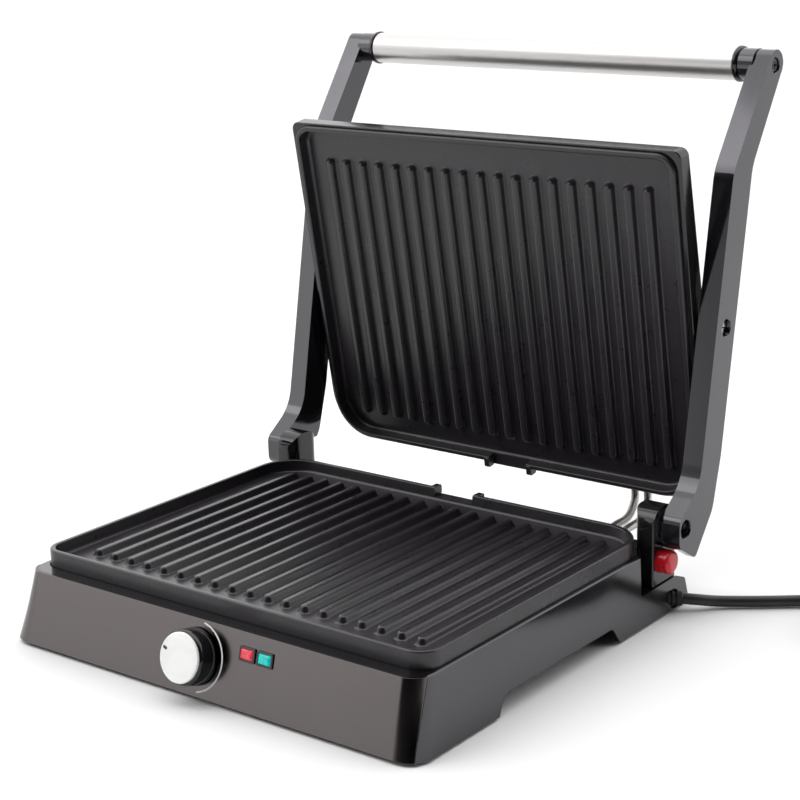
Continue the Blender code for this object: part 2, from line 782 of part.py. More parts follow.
def make_axle(carrier, side, name):
    """The hinge pin: a shank through post, disc and arm, its head in the arm's outer recess."""
    profile = [
        (0, POST_IN_X + 0.0010),
        (AXLE_R, POST_IN_X + 0.0010),
        (AXLE_R, ARM_OUT_X - 0.0080),
        (0.0048, ARM_OUT_X - 0.0080),
        (0.0044, ARM_OUT_X - 0.0058),
        (0.0018, ARM_OUT_X - 0.0055),
        (0, ARM_OUT_X - 0.0065),
    ]
    profile = [(r, side * h) for r, h in profile]
    add(name, turned(profile, across(HINGE_Y, HINGE_Z), 14), "zinc", carrier)


def boot_place():
    turn = Matrix.Rotation(CORD_ANGLE, 4, "Z") @ ALONG_X
    return Matrix.Translation(BOOT_START) @ turn


def make_boot(carrier):
    profile = [
        (0, 0),
        (0.0056, 0),
        (0.0056, 0.0020),
        (0.0050, 0.0050),
        (0.0050, BOOT_LONG - 0.0040),
        (0.0044, BOOT_LONG),
        (0, BOOT_LONG),
    ]
    add("strain_relief", turned(profile, boot_place(), 20), "rubber", carrier)


def coil_point(angle):
    """A point on the coil's outermost turn."""
    radius = COIL_R + CORD_R
    return Vector((COIL_X + radius * math.cos(angle), COIL_Y + radius * math.sin(angle), 0))


def cord_route():
    """Hand-chosen points from the strain relief's mouth to the coil."""
    mouth = boot_place() @ Vector((0, 0, BOOT_LONG + 2 * GAP))
    along = Vector((math.cos(CORD_ANGLE), math.sin(CORD_ANGLE), 0))
    rest_z = CORD_R + 0.0003
    entry = coil_point(CORD_ANGLE + math.pi / 2)
    entry.z = rest_z
    lead_in = math.sqrt((COIL_R + COIL_HALF) ** 2 - COIL_R**2) + 2 * GAP
    return [
        mouth,
        mouth + along * 0.010 + Vector((0, 0, -0.0010)),
        Vector((0.1745, 0.1492, rest_z + 0.0004)),
        Vector((0.1950, 0.1640, rest_z)),
        Vector((0.2150, 0.1790, rest_z)),
        entry - along * lead_in,
    ]


def make_cord(carrier):
    add_wire("power_cord", curve_through(cord_route(), 0.0075), CORD_R, "cord", carrier)
    inner, outer = COIL_R - COIL_HALF, COIL_R + COIL_HALF
    profile = [
        (inner, 0.0030),
        (inner + 0.0030, 0.0002),
        (outer - 0.0030, 0.0002),
        (outer, 0.0030),
        (outer, 0.0115),
        (outer - 0.0030, 0.0143),
        (inner + 0.0030, 0.0143),
        (inner, 0.0115),
    ]
    place = Matrix.Translation((COIL_X, COIL_Y, 0))
    add("cord_coil", turned(profile, place, 24), "cord", carrier)
    make_plug(carrier)


PLUG_X = COIL_X + COIL_R + CORD_R
PLUG_TAIL_Y = COIL_Y - 0.0258
PLUG_Z = 0.0098


def make_plug(carrier):
    """A straight moulded two-pin plug lying flat, its pins pointing to the front."""
    stations = [
        (0.0000, 0.0045, 0.0042),
        (0.0100, 0.0056, 0.0050),
        (0.0140, 0.0105, 0.0085),
        (0.0180, 0.0120, 0.0095),
        (0.0340, 0.0125, 0.0095),
        (0.0370, 0.0150, 0.0095),
        (0.0400, 0.0150, 0.0095),
    ]
    loops = []
    for along, half_x, half_z in stations:
        outline = plan_loop(half_x, -half_z, half_z, half_z * 0.75, half_z * 0.75, 2)
        loops.append([(PLUG_X + p[0], PLUG_TAIL_Y - along, PLUG_Z + p[1]) for p in outline])
    shape = loft(loops)
    for side in (-1, 1):
        turn = Matrix.Rotation(math.pi / 2, 4, "X")
        place = Matrix.Translation((PLUG_X + side * 0.0095, PLUG_TAIL_Y - 0.0390, PLUG_Z)) @ turn
        pin = turned([(0, 0), (0.0020, 0), (0.0020, 0.0185), (0.0012, 0.0200), (0, 0.0200)], place, 10)
        shape = plus(shape, pin)
    add("mains_plug", shape, "cord", carrier)


def make_terminal_block(carrier):
    shape = box((-0.0180, 0.0700, 0.0112), (0.0180, 0.0820, 0.0240))
    for k in range(3):
        x = (k - 1) * 0.011
        place = Matrix.Translation((x, 0.076, 0))
        shape = minus(shape, cylinder(0.0028, 0.0190, 0.03, place, 12))
    add("terminal_block", shape, "phenolic", carrier)


def conduit_points(x):
    """From the back of the deck block up to the lid housing's hinge-side wall."""
    wall = PLATE_BEHIND_PIN + PLATE_HALF_Y + HOUSING_PAST_PLATE
    far_x = x - 0.0040
    return [
        Vector((x, DECK_BLOCK_BACK_Y + 2 * GAP, CONDUIT_Z)),
        Vector((x, DECK_BLOCK_BACK_Y + 0.0070, CONDUIT_Z)),
        Vector((x + 0.0040, 0.1500, 0.0370)),
        Vector((x + 0.0040, 0.1680, 0.0385)),
        Vector((x - 0.0020, 0.1865, 0.0430)),
        LID @ Vector((far_x, wall + 0.0075, 0.0010)),
        LID @ Vector((far_x, wall + 3 * GAP, 0.0010)),
    ]


def make_conduits(carrier):
    for x, name in zip(CONDUIT_X, ("conduit_inner", "conduit_outer")):
        add_wire(name, curve_through(conduit_points(x), 0.0060), CONDUIT_R, "stainless", carrier)


# ---- moving pieces ----------------------------------------------------------------------------


def make_knob(carrier):
    place = Matrix.Translation((KNOB_X, KNOB_UP, 0))
    body = [
        (0, 0.0010),
        (KNOB_R - 0.0004, 0.0010),
        (KNOB_R, 0.0016),
        (KNOB_R - 0.0008, KNOB_HIGH - 0.0020),
        (KNOB_R - 0.0016, KNOB_HIGH - 0.0004),
        (KNOB_CAP_R + 0.0003, KNOB_HIGH),
        (KNOB_CAP_R + 0.0003, KNOB_HIGH - 0.0016),
        (0, KNOB_HIGH - 0.0016),
    ]
    shape = turned(body, place, 28)
    shape = minus(shape, cylinder(SPINDLE_R + 0.0003, -0.001, 0.0085, place, 12))
    add("control_knob", in_panel(shape), "gloss_black", carrier)
    top = KNOB_HIGH + CAP_PROUD
    cap = [
        (0, KNOB_HIGH - 0.0013),
        (KNOB_CAP_R, KNOB_HIGH - 0.0013),
        (KNOB_CAP_R, top - CAP_EDGE),
        (KNOB_CAP_R - CAP_EDGE, top),
        (0, top),
    ]
    shape = turned(cap, place, 28)
    turn = Matrix.Rotation(math.radians(52), 4, "Z")
    mark = box((-0.0007, KNOB_CAP_R - 0.0052, top - 0.0004), (0.0007, KNOB_CAP_R - 0.0016, top + 0.001))
    shape = minus(shape, moved(mark, place @ turn))
    add("knob_cap", in_panel(shape), "white_cap", carrier)
    spindle = cylinder(SPINDLE_R, -0.0140, 0.0082, place, 12)
    add("thermostat_spindle", in_panel(spindle), "zinc", carrier)


def make_button(carrier):
    inner = POST_OUT_X - 0.0042
    profile = [
        (0, inner),
        (BUTTON_R, inner),
        (BUTTON_R, BUTTON_OUT_X - 0.0012),
        (BUTTON_R - 0.0012, BUTTON_OUT_X),
        (0, BUTTON_OUT_X),
    ]
    add("release_button", turned(profile, across(BUTTON_Y, BUTTON_Z), 24), "red_button", carrier)


def make_button_spring(carrier):
    """Three turns of wire between the post's bore floor and the button."""
    start, end = POST_OUT_X - 0.0091, POST_OUT_X - 0.0050
    turns, per_turn = 3, 8
    points = []
    for n in range(turns * per_turn + 1):
        angle = 2 * math.pi * n / per_turn
        x = start + (end - start) * n / (turns * per_turn)
        y = BUTTON_Y + 0.0046 * math.cos(angle)
        z = BUTTON_Z + 0.0046 * math.sin(angle)
        points.append(Vector((x, y, z)))
    add_wire("button_spring", points, 0.0003, "stainless", carrier, 1)


def make_disc(carrier, side, name):
    """The hinge disc that turns in the post's bore when the lid is laid flat."""
    low, high = sorted((side * (POST_OUT_X - DISC_LONG - 0.0004), side * (POST_OUT_X - 0.0004)))
    shape = ring(AXLE_R + 0.0003, DISC_R, low, high, across(HINGE_Y, HINGE_Z), 20)
    for k in range(4):
        angle = math.radians(45 + 90 * k)
        y, z = HINGE_Y + 0.0075 * math.cos(angle), HINGE_Z + 0.0075 * math.sin(angle)
        pocket = sorted((side * (POST_OUT_X - 0.0030), side * (POST_OUT_X + 0.001)))
        shape = minus(shape, cylinder(0.0018, *pocket, across(y, z), 8))
    add(name, shape, "dark_plastic", carrier)


def arm_outline():
    """The arm in side view: foot, S-bend, long straight blade and the bend up to the handle."""
    return [
        (0.1150, 0.0466, 0.0060),
        (0.1345, 0.0348, 0.0035),
        (0.1553, 0.0602, 0.0200),
        (0.1648, 0.0925, 0.0600),
        (0.1973, 0.2662, 0.0300),
        (0.2364, 0.3262, 0.0080),
        (0.2228, 0.3362, 0.0080),
        (0.1734, 0.2656, 0.0300),
        (0.1388, 0.0800, 0.0300),
        (0.1148, 0.0632, 0.0065),
    ]


def relief_shape(side):
    """What is cut from the arm's inner side so that its foot passes over the release button."""
    start, stop, steps = math.radians(-140), math.radians(0), 10
    turns = [start + (stop - start) * k / steps for k in range(steps + 1)]
    inner = [(HINGE_Y + RELIEF_R * math.cos(a), HINGE_Z + RELIEF_R * math.sin(a)) for a in turns]
    far = [(HINGE_Y + 0.045 * math.cos(a), HINGE_Z + 0.045 * math.sin(a)) for a in turns]
    low, high = sorted((side * (ARM_IN_X - 0.01), side * RELIEF_OUT_X))
    return side_prism(inner + far[::-1], low, high)


def make_arm(carrier, side, name):
    low, high = sorted((side * ARM_IN_X, side * ARM_OUT_X))
    shape = side_prism(rounded(arm_outline(), 4), low, high)
    edges = [e for e in shape.edges if abs(e.verts[0].co.x - e.verts[1].co.x) < 1e-6]
    bmesh.ops.bevel(shape, geom=edges, offset=0.0010, segments=1, affect="EDGES")
    handle = across(HANDLE_Y, HANDLE_Z)
    boss_start = TUBE_HALF + COLLAR_LONG + 2 * GAP
    boss = sorted((side * boss_start, side * (ARM_IN_X + 0.002)))
    shape = plus(shape, cylinder(0.0098, *boss, handle, 20))
    shape = minus(shape, relief_shape(side))
    hinge = across(HINGE_Y, HINGE_Z)
    pin = across(PIN_Y, PIN_Z)
    through = sorted((side * 0.14, side * 0.17))
    for radius, deep, place in ((0.0057, 0.0083, hinge), (0.0052, 0.0050, pin), (0.0046, 0.0032, handle)):
        mouth = sorted((side * (ARM_OUT_X - deep), side * (ARM_OUT_X + 0.01)))
        shape = minus(shape, cylinder(radius, *mouth, place, 20))
    for radius, place in ((AXLE_R + 0.0003, hinge), (PIN_R + 0.0003, pin), (0.0027, handle)):
        shape = minus(shape, cylinder(radius, *through, place, 16))
    add(name, shape, "gloss_black", carrier)


def make_handle(carrier):
    place = across(HANDLE_Y, HANDLE_Z)
    add("handle_tube", ring(TUBE_R - 0.0010, TUBE_R, -TUBE_HALF, TUBE_HALF, place, 28), "stainless", carrier)
    for side, word in ((-1, "left"), (1, "right")):
        start = TUBE_HALF + GAP
        profile = [
            (0.0027, start - 0.0080),
            (TUBE_R - 0.0014, start - 0.0080),
            (TUBE_R - 0.0014, start),
            (COLLAR_R, start),
            (COLLAR_R, start + COLLAR_LONG - 0.0010),
            (COLLAR_R - 0.0010, start + COLLAR_LONG),
            (0.0027, start + COLLAR_LONG),
        ]
        profile = [(r, side * h) for r, h in profile]
        add(f"handle_collar_{word}", turned(profile, place, 24), "gloss_black", carrier)
        head = ARM_OUT_X - 0.0030
        screw = [
            (0, TUBE_HALF - 0.0050),
            (0.0024, TUBE_HALF - 0.0050),
            (0.0024, head),
            (0.0042, head),
            (0.0038, head + 0.0020),
            (0.0012, head + 0.0022),
            (0, head + 0.0012),
        ]
        screw = [(r, side * h) for r, h in screw]
        add(f"handle_screw_{word}", turned(screw, place, 12), "zinc", carrier)


def make_pivot_pins(carrier):
    """The lid's pivot pins with their heads in the arms' round recesses, and a washer on each."""
    place = across(PIN_Y, PIN_Z)
    for side, word in ((-1, "left"), (1, "right")):
        head = ARM_OUT_X - 0.0048
        profile = [
            (0, HOUSING_HALF_X - 0.0110),
            (PIN_R, HOUSING_HALF_X - 0.0110),
            (PIN_R, head),
            (0.0046, head),
            (0.0040, head + 0.0022),
            (0.0013, head + 0.0024),
            (0, head + 0.0012),
        ]
        profile = [(r, side * h) for r, h in profile]
        add(f"pivot_pin_{word}", turned(profile, place, 14), "chrome", carrier)
        low, high = sorted((side * (HOUSING_HALF_X + GAP), side * (ARM_IN_X - GAP)))
        add(f"pivot_washer_{word}", ring(PIN_R + 0.0002, 0.0050, low, high, place, 16), "dark_plastic", carrier)


def housing_deep(y, front, back):
    """How far behind the rim plane the housing's edge lies at a place between its two ends."""
    share = (y - front) / (back - front)
    return HOUSING_FRONT_DEEP + (HOUSING_HINGE_DEEP - HOUSING_FRONT_DEEP) * share


def housing_loop(inset, rise, level=None):
    """A loop round the lid housing: at one height, or following the slope of its back."""
    front = PLATE_BEHIND_PIN - PLATE_HALF_Y - HOUSING_PAST_PLATE
    back = PLATE_BEHIND_PIN + PLATE_HALF_Y + HOUSING_PAST_PLATE
    points = plan_loop(
        HOUSING_HALF_X - inset,
        front + inset,
        back - inset,
        max(HOUSING_FRONT_R - inset, 0.0020),
        max(HOUSING_HINGE_R - inset, 0.0030),
        4,
    )
    if level is not None:
        return [(p[0], p[1], level) for p in points]
    return [(p[0], p[1], housing_deep(p[1], front, back) + rise - RIM_BELOW_PIN) for p in points]


def plate_pocket():
    """The lid plate's own outline with a small gap round it, open at the rim side."""
    half_x, half_y = PLATE_HALF_X + GAP, PLATE_HALF_Y + GAP
    plan = plan_loop(half_x, -half_y, half_y, FRONT_CORNER_R + GAP, HINGE_CORNER_R + GAP, 5)
    outline = [(p[0], p[1] + PLATE_BEHIND_PIN) for p in plan]
    return prism(outline, -0.0300, PLATE_DEEP - RIM_BELOW_PIN + GAP)


def make_lid_housing(carrier):
    outer = loft(
        [
            housing_loop(0.0, 0.0, HOUSING_LIP - RIM_BELOW_PIN),
            housing_loop(0.0, -0.0015),
            housing_loop(0.0018, 0.0),
            housing_loop(0.0140, 0.0035),
            housing_loop(0.0340, 0.0068),
            housing_loop(0.0600, HOUSING_CROWN),
        ]
    )
    hollow = loft(
        [
            housing_loop(0.0055, 0.0, -0.0060),
            housing_loop(0.0055, -0.0022),
            housing_loop(0.0150, 0.0010),
            housing_loop(0.0345, 0.0042),
            housing_loop(0.0605, HOUSING_CROWN - 0.0026),
        ]
    )
    shape = minus(outer, plate_pocket(), hollow)
    for side in (-1, 1):
        boss = sorted((side * 0.1365, side * HOUSING_HALF_X))
        shape = plus(shape, cylinder(0.0046, *boss, ALONG_X, 16))
    notch = box((-0.0200, 0.1100, -0.0168), (0.0200, 0.1250, -0.0056))
    shape = minus(shape, plate_pocket(), notch)
    for side in (-1, 1):
        hole = sorted((side * 0.13, side * 0.16))
        shape = minus(shape, cylinder(PIN_R + 0.0003, *hole, ALONG_X, 14))
    add("lid_housing", moved(shape, LID), "housing_black", carrier)


def lid_plate_place():
    turn = Matrix.Rotation(math.pi, 4, "Y")
    return LID @ Matrix.Translation((0, PLATE_BEHIND_PIN, -RIM_BELOW_PIN)) @ turn


def make_heater(word, matrix, carrier):
    """The heating rod behind one plate; matrix places the plate."""
    path = [matrix @ p for p in element_path(-PLATE_DEEP - 0.0034)]
    add_wire(f"{word}_heating_element", path, 0.0030, "element", carrier)


def make_lid(carrier):
    plate = moved(plate_shape(), lid_plate_place())
    add("upper_grill_plate", plate, "nonstick", carrier)
    make_heater("upper", lid_plate_place(), carrier)
    make_lid_housing(carrier)


def make_base(carrier):
    make_base_shell(carrier)
    make_fascia(carrier)
    make_lamps(carrier)
    make_thermostat(carrier)
    make_bottom(carrier)
    make_feet(carrier)
    place = Matrix.Translation((0, 0, PLATE_TOP_Z))
    add("lower_grill_plate", moved(plate_shape(), place), "nonstick", carrier)
    make_heater("lower", place, carrier)
    add("lower_reflector", tray_shape(0.1240, 0.0940, 0.0300), "aluminium", carrier)
    for side, word in ((-1, "left"), (1, "right")):
        make_post(carrier, side, f"hinge_post_{word}")
        make_axle(carrier, side, f"hinge_pin_{word}")
    make_terminal_block(carrier)
    make_boot(carrier)
    make_cord(carrier)
    make_conduits(carrier)
    make_button_spring(carrier)


def main():
    clear_scene()
    whole = group("panini_press", (0, 0, 0))
    base = group("base", (0, 0, 0), whole)
    knob = group("knob_axis", PANEL @ Vector((KNOB_X, KNOB_UP, 0)), whole)
    button = group("button_axis", (BUTTON_OUT_X, BUTTON_Y, BUTTON_Z), whole)
    discs = group("flat_open_axis", HINGE, whole)
    arms = group("lid_axis", HINGE, discs)
    pins = group("pivot_axis", PIN, arms)
    lid = group("lid", PIN, pins)
    make_base(base)
    make_knob(knob)
    make_button(button)
    for side, word in ((-1, "left"), (1, "right")):
        make_disc(discs, side, f"hinge_disc_{word}")
        make_arm(arms, side, f"arm_{word}")
    make_handle(arms)
    make_pivot_pins(pins)
    make_lid(lid)
    whole.location.y = -MIDDLE_Y


main()
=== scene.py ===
"""Looks of the panini press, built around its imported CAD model.

Shapes are drawn in the same drawing coordinates as the CAD source (metres, X right, Y back, Z up,
zero on the table under the middle of the lower plate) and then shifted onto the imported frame.
"""

import math

import bmesh
import bpy
from mathutils import Matrix, Vector


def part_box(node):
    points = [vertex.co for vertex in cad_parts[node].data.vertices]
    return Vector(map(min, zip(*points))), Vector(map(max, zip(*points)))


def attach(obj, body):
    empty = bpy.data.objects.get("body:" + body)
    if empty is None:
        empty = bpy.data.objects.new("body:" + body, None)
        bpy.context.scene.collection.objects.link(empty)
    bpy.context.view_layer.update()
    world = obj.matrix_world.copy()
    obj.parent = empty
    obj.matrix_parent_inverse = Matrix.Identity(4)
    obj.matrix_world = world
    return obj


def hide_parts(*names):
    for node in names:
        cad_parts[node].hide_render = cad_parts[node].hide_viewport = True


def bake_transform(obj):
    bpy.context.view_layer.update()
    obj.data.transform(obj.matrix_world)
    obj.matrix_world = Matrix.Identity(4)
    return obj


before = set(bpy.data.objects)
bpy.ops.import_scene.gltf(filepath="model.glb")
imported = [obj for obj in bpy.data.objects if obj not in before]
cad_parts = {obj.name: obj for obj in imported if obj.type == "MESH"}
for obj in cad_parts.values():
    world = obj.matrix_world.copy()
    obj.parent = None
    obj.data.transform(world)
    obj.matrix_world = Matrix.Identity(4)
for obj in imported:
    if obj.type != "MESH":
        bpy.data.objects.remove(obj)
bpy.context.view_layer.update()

# ---- grill plates (the upper one is the lower one turned over) ----
PLATE_HALF_X = 0.1450
PLATE_HALF_Y = 0.1134
PLATE_TOP_Z = 0.0543
PLATE_DEEP = 0.0124
FLOOR_BELOW_RIM = 0.0080
RIM_WALL = 0.0032
FRONT_CORNER_R = 0.0125
HINGE_CORNER_R = 0.0280
RIB_COUNT = 19
RIB_PITCH = 0.0136
RIB_FRONT_Y = -0.0905
RIB_BACK_Y = 0.0970
SPOUT_HALF_X = 0.0150
NUB_HALF_X = 0.0020
NUB_OUT = 0.0046
SPOUT_LIP = 0.0040

# ---- base ----
DECK_Z = 0.0438
PLATE_BED_Z = 0.0416
PLATE_BED_GAP = 0.0006
DECK_HALF_X = 0.1473
FLOOR_HALF_X = 0.1533
FLARE = (FLOOR_HALF_X - DECK_HALF_X) / DECK_Z
PANEL_FOOT_Y = -0.1359
PANEL_TOP_Y = -0.1235
PANEL_LEAN = math.atan2(PANEL_TOP_Y - PANEL_FOOT_Y, DECK_Z)
DECK_EDGE_R = 0.0012
FASCIA_THICK = 0.0013
FASCIA_LEVELS = (0.0018, 0.0123, 0.0228, 0.0333, DECK_Z)
# Each front corner at table height and at the deck: where the flat front ends (x), the seam
# between the metal panel and the side (x, y), and where the side turns straight (y).
CORNER_AT_FOOT = (0.1376, 0.1496, -0.1327, -0.1240)
CORNER_AT_DECK = (0.1358, 0.1467, -0.1148, -0.1090)
CAVITY_CORNER_R = 0.0140
OPENING_HALF_X = 0.1340
OPENING_HALF_Y = 0.1020
WALL = 0.0026
SHELL_GROUND = 0.0015
NOTCH_Y = 0.0950
NOTCH_Z = 0.0198
REAR_Y = 0.1466
DECK_BLOCK_HALF_X = 0.1310
DECK_BLOCK_BACK_Y = 0.1268
GAP = 0.0003

# ---- knob and lamps, in the sloping panel's own frame (x, up the slope) ----
KNOB_X = -0.0046
KNOB_UP = 0.0243
KNOB_R = 0.0165
KNOB_HIGH = 0.0128
KNOB_CAP_R = 0.0143
CAP_PROUD = 0.0012
SPINDLE_R = 0.0030
SPINDLE_PASSAGE_R = 0.0052
ARC_R = 0.0198
LAMP_UP = 0.0337
LAMP_X = (0.0327, 0.0455)
LAMP_HALF_X = 0.0046
LAMP_HALF_UP = 0.0031
LAMP_FRAME = 0.0011

# ---- hinge, arms and handle ----
HINGE_Y = 0.1225
HINGE_Z = 0.0567
ARM_IN_X = 0.1505
ARM_OUT_X = 0.1636
ARM_EDGE_R = 0.0012
POST_IN_X = 0.1345
POST_OUT_X = 0.1493
POST_FRONT_Y = 0.1085
POST_BACK_Y = 0.1354
POST_TOP_Z = 0.0697
POST_INNER_EDGE_R = 0.0080
SPIGOT_Y = 0.1235
SPIGOT_R = 0.0033
DISC_R = 0.0108
DISC_LONG = 0.0104
AXLE_R = 0.0030
RELIEF_R = 0.0136
RELIEF_OUT_X = 0.1586
PIN_Y = 0.1683
PIN_Z = 0.1718
PIN_R = 0.0026
HANDLE_Y = 0.2240
HANDLE_Z = 0.3235
BOSS_R = 0.0098
TUBE_R = 0.0103
TUBE_HALF = 0.1390
COLLAR_R = 0.0111
COLLAR_LONG = 0.0030
BUTTON_Y = 0.1176
BUTTON_Z = 0.0357
BUTTON_R = 0.0074
BUTTON_OUT_X = 0.1582

# ---- lid (drawn level, rim plane down, as when it is closed; origin on the pivot pins) ----
LID_ANGLE = math.radians(99.8 - 180.0)
RIM_BELOW_PIN = 0.0164
PLATE_BEHIND_PIN = 0.0015
HOUSING_HALF_X = 0.1485
HOUSING_PAST_PLATE = 0.0016
HOUSING_FRONT_R = 0.0050
HOUSING_HINGE_R = 0.0320
HOUSING_LIP = 0.0030
HOUSING_FRONT_DEEP = 0.0138
HOUSING_HINGE_DEEP = 0.0242

# ---- cord ----
CORD_R = 0.0035
CORD_ANGLE = math.radians(34.0)
BOOT_START = (0.1347, 0.1176, 0.0077)
BOOT_LONG = 0.0262
BOOT_HOLE_R = 0.0060
COIL_R = 0.0375
COIL_X = 0.2760
COIL_Y = 0.1726
PLUG_X = COIL_X + COIL_R + CORD_R
PLUG_TAIL_Y = COIL_Y - 0.0258
PLUG_Z = 0.0098
CONDUIT_X = (0.0920, 0.1015)
CONDUIT_Z = 0.0300
CONDUIT_R = 0.0027

FEET = {
    "front_left": (-0.1220, -0.1000),
    "rear_left": (-0.1220, 0.1050),
    "front_right": (0.1220, -0.1000),
    "rear_right": (0.1220, 0.1050),
}
SIDES = ((-1, "left"), (1, "right"))

SHIFT = Vector((0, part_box("base_shell")[1].y - REAR_Y, 0))
PIN = Vector((0, PIN_Y, PIN_Z))
PANEL = Matrix.Translation((0, PANEL_FOOT_Y, 0)) @ Matrix.Rotation(math.pi / 2 - PANEL_LEAN, 4, "X")
KNOB_PLACE = Matrix.Translation((KNOB_X, KNOB_UP, 0))
LID = Matrix.Translation(PIN) @ Matrix.Rotation(LID_ANGLE, 4, "X")
TURNED_OVER = Matrix.Rotation(math.pi, 4, "Y")
LID_PLATE = LID @ Matrix.Translation((0, PLATE_BEHIND_PIN, -RIM_BELOW_PIN)) @ TURNED_OVER
ALONG_X = Matrix.Rotation(math.pi / 2, 4, "Y")

# ---- camera ----
CAMERA_PLACE = Vector((0.6931, -0.83397, 0.44317))
CAMERA_RIGHT = Vector((0.79299772, 0.6087262, -0.02463811))
CAMERA_UP = Vector((-0.1447714, 0.22757095, 0.96293962))
CAMERA_LENS = 85.657

# ---- studio ----
ROOM_LIGHT = 1.75
DARK_WALL = (0.59, -0.77, 0.24)
DARK_FROM, DARK_FULL = 0.30, 0.50


def make_camera():
    data = bpy.data.cameras.new("camera")
    data.sensor_width = 36.0
    data.lens = CAMERA_LENS
    camera = bpy.data.objects.new("camera", data)
    bpy.context.scene.collection.objects.link(camera)
    back = CAMERA_RIGHT.cross(CAMERA_UP)
    turn = Matrix((CAMERA_RIGHT, CAMERA_UP, back)).transposed()
    camera.matrix_world = Matrix.Translation(CAMERA_PLACE + SHIFT) @ turn.to_4x4()
    bpy.context.scene.camera = camera


# ---- materials ----


class Look:
    """One procedural material: a Principled shader and helpers that wire patterns into it."""

    def __init__(self, name, colour, roughness, metallic=0.0, **sockets):
        self.material = bpy.data.materials.new(name)
        self.material.use_nodes = True
        self.tree = self.material.node_tree
        self.shader = self.tree.nodes["Principled BSDF"]
        self.colour = colour
        self.roughness = roughness
        self.shader.inputs["Base Color"].default_value = (*colour, 1)
        self.shader.inputs["Roughness"].default_value = roughness
        self.shader.inputs["Metallic"].default_value = metallic
        for socket, value in sockets.items():
            self.shader.inputs[socket.replace("_", " ")].default_value = value
        self.material.diffuse_color = (*colour, 1)
        self.place = self.tree.nodes.new("ShaderNodeTexCoord").outputs["Object"]
        self.normal = None

    def noise(self, scale, detail, stretch=(1, 1, 1)):
        mapping = self.tree.nodes.new("ShaderNodeMapping")
        mapping.inputs["Scale"].default_value = stretch
        self.tree.links.new(self.place, mapping.inputs["Vector"])
        texture = self.tree.nodes.new("ShaderNodeTexNoise")
        texture.inputs["Scale"].default_value = scale
        texture.inputs["Detail"].default_value = detail
        self.tree.links.new(mapping.outputs["Vector"], texture.inputs["Vector"])
        return texture.outputs["Fac"]

    def vary_roughness(self, pattern, spread):
        ramp = self.tree.nodes.new("ShaderNodeMapRange")
        ramp.inputs["From Min"].default_value = 0.3
        ramp.inputs["From Max"].default_value = 0.7
        ramp.inputs["To Min"].default_value = max(self.roughness - spread, 0.02)
        ramp.inputs["To Max"].default_value = self.roughness + spread
        self.tree.links.new(pattern, ramp.inputs["Value"])
        self.tree.links.new(ramp.outputs["Result"], self.shader.inputs["Roughness"])

    def vary_colour(self, pattern, other, low=0.35, high=0.65):
        ramp = self.tree.nodes.new("ShaderNodeValToRGB")
        ramp.color_ramp.elements[0].position = low
        ramp.color_ramp.elements[0].color = (*self.colour, 1)
        ramp.color_ramp.elements[1].position = high
        ramp.color_ramp.elements[1].color = (*other, 1)
        self.tree.links.new(pattern, ramp.inputs["Fac"])
        self.tree.links.new(ramp.outputs["Color"], self.shader.inputs["Base Color"])

    def bump(self, pattern, depth):
        node = self.tree.nodes.new("ShaderNodeBump")
        node.inputs["Strength"].default_value = 1.0
        node.inputs["Distance"].default_value = depth
        self.tree.links.new(pattern, node.inputs["Height"])
        if self.normal:
            self.tree.links.new(self.normal, node.inputs["Normal"])
        self.normal = node.outputs["Normal"]
        self.tree.links.new(self.normal, self.shader.inputs["Normal"])
        return self


def moulded(name, colour, roughness, grain, depth, spread, **sockets):
    """Moulded plastic or rubber: a fine grain, and roughness that varies over centimetres."""
    look = Look(name, colour, roughness, **sockets)
    lighter = tuple(c * 1.25 + 0.001 for c in colour)
    look.vary_colour(look.noise(35, 2), lighter)
    look.vary_roughness(look.noise(60, 3), spread)
    return look.bump(look.noise(grain, 2), depth).material


def metal(name, colour, roughness, stretch, scale, depth, spread, shade=0.86):
    """Bare metal with fine drawn or brushed lines along the axis that isn't stretched."""
    look = Look(name, colour, roughness, 1.0)
    darker = tuple(c * shade for c in colour)
    lines = look.noise(scale, 4, stretch)
    look.vary_colour(lines, darker)
    look.vary_roughness(lines, spread)
    return look.bump(lines, depth).material


def coated_plate(name, colour, lighter, roughness):
    """Non-stick coating: satin, finely speckled, with a faint orange-peel skin."""
    look = Look(name, colour, roughness, 0.0, Specular_IOR_Level=0.5)
    look.vary_colour(look.noise(1900, 2), lighter, 0.42, 0.62)
    look.vary_roughness(look.noise(70, 3), 0.05)
    look.bump(look.noise(1500, 3), 0.00003)
    return look.bump(look.noise(260, 2), 0.00003).material


def lens(name, colour, roughness):
    look = Look(name, colour, roughness, 0.0, Transmission_Weight=0.15, IOR=1.49)
    look.shader.inputs["Emission Color"].default_value = (*colour, 1)
    look.shader.inputs["Emission Strength"].default_value = 0.30
    deeper = tuple(c * 0.55 for c in colour)
    look.vary_colour(look.noise(520, 2), deeper)
    return look.bump(look.noise(900, 1), 0.00003).material


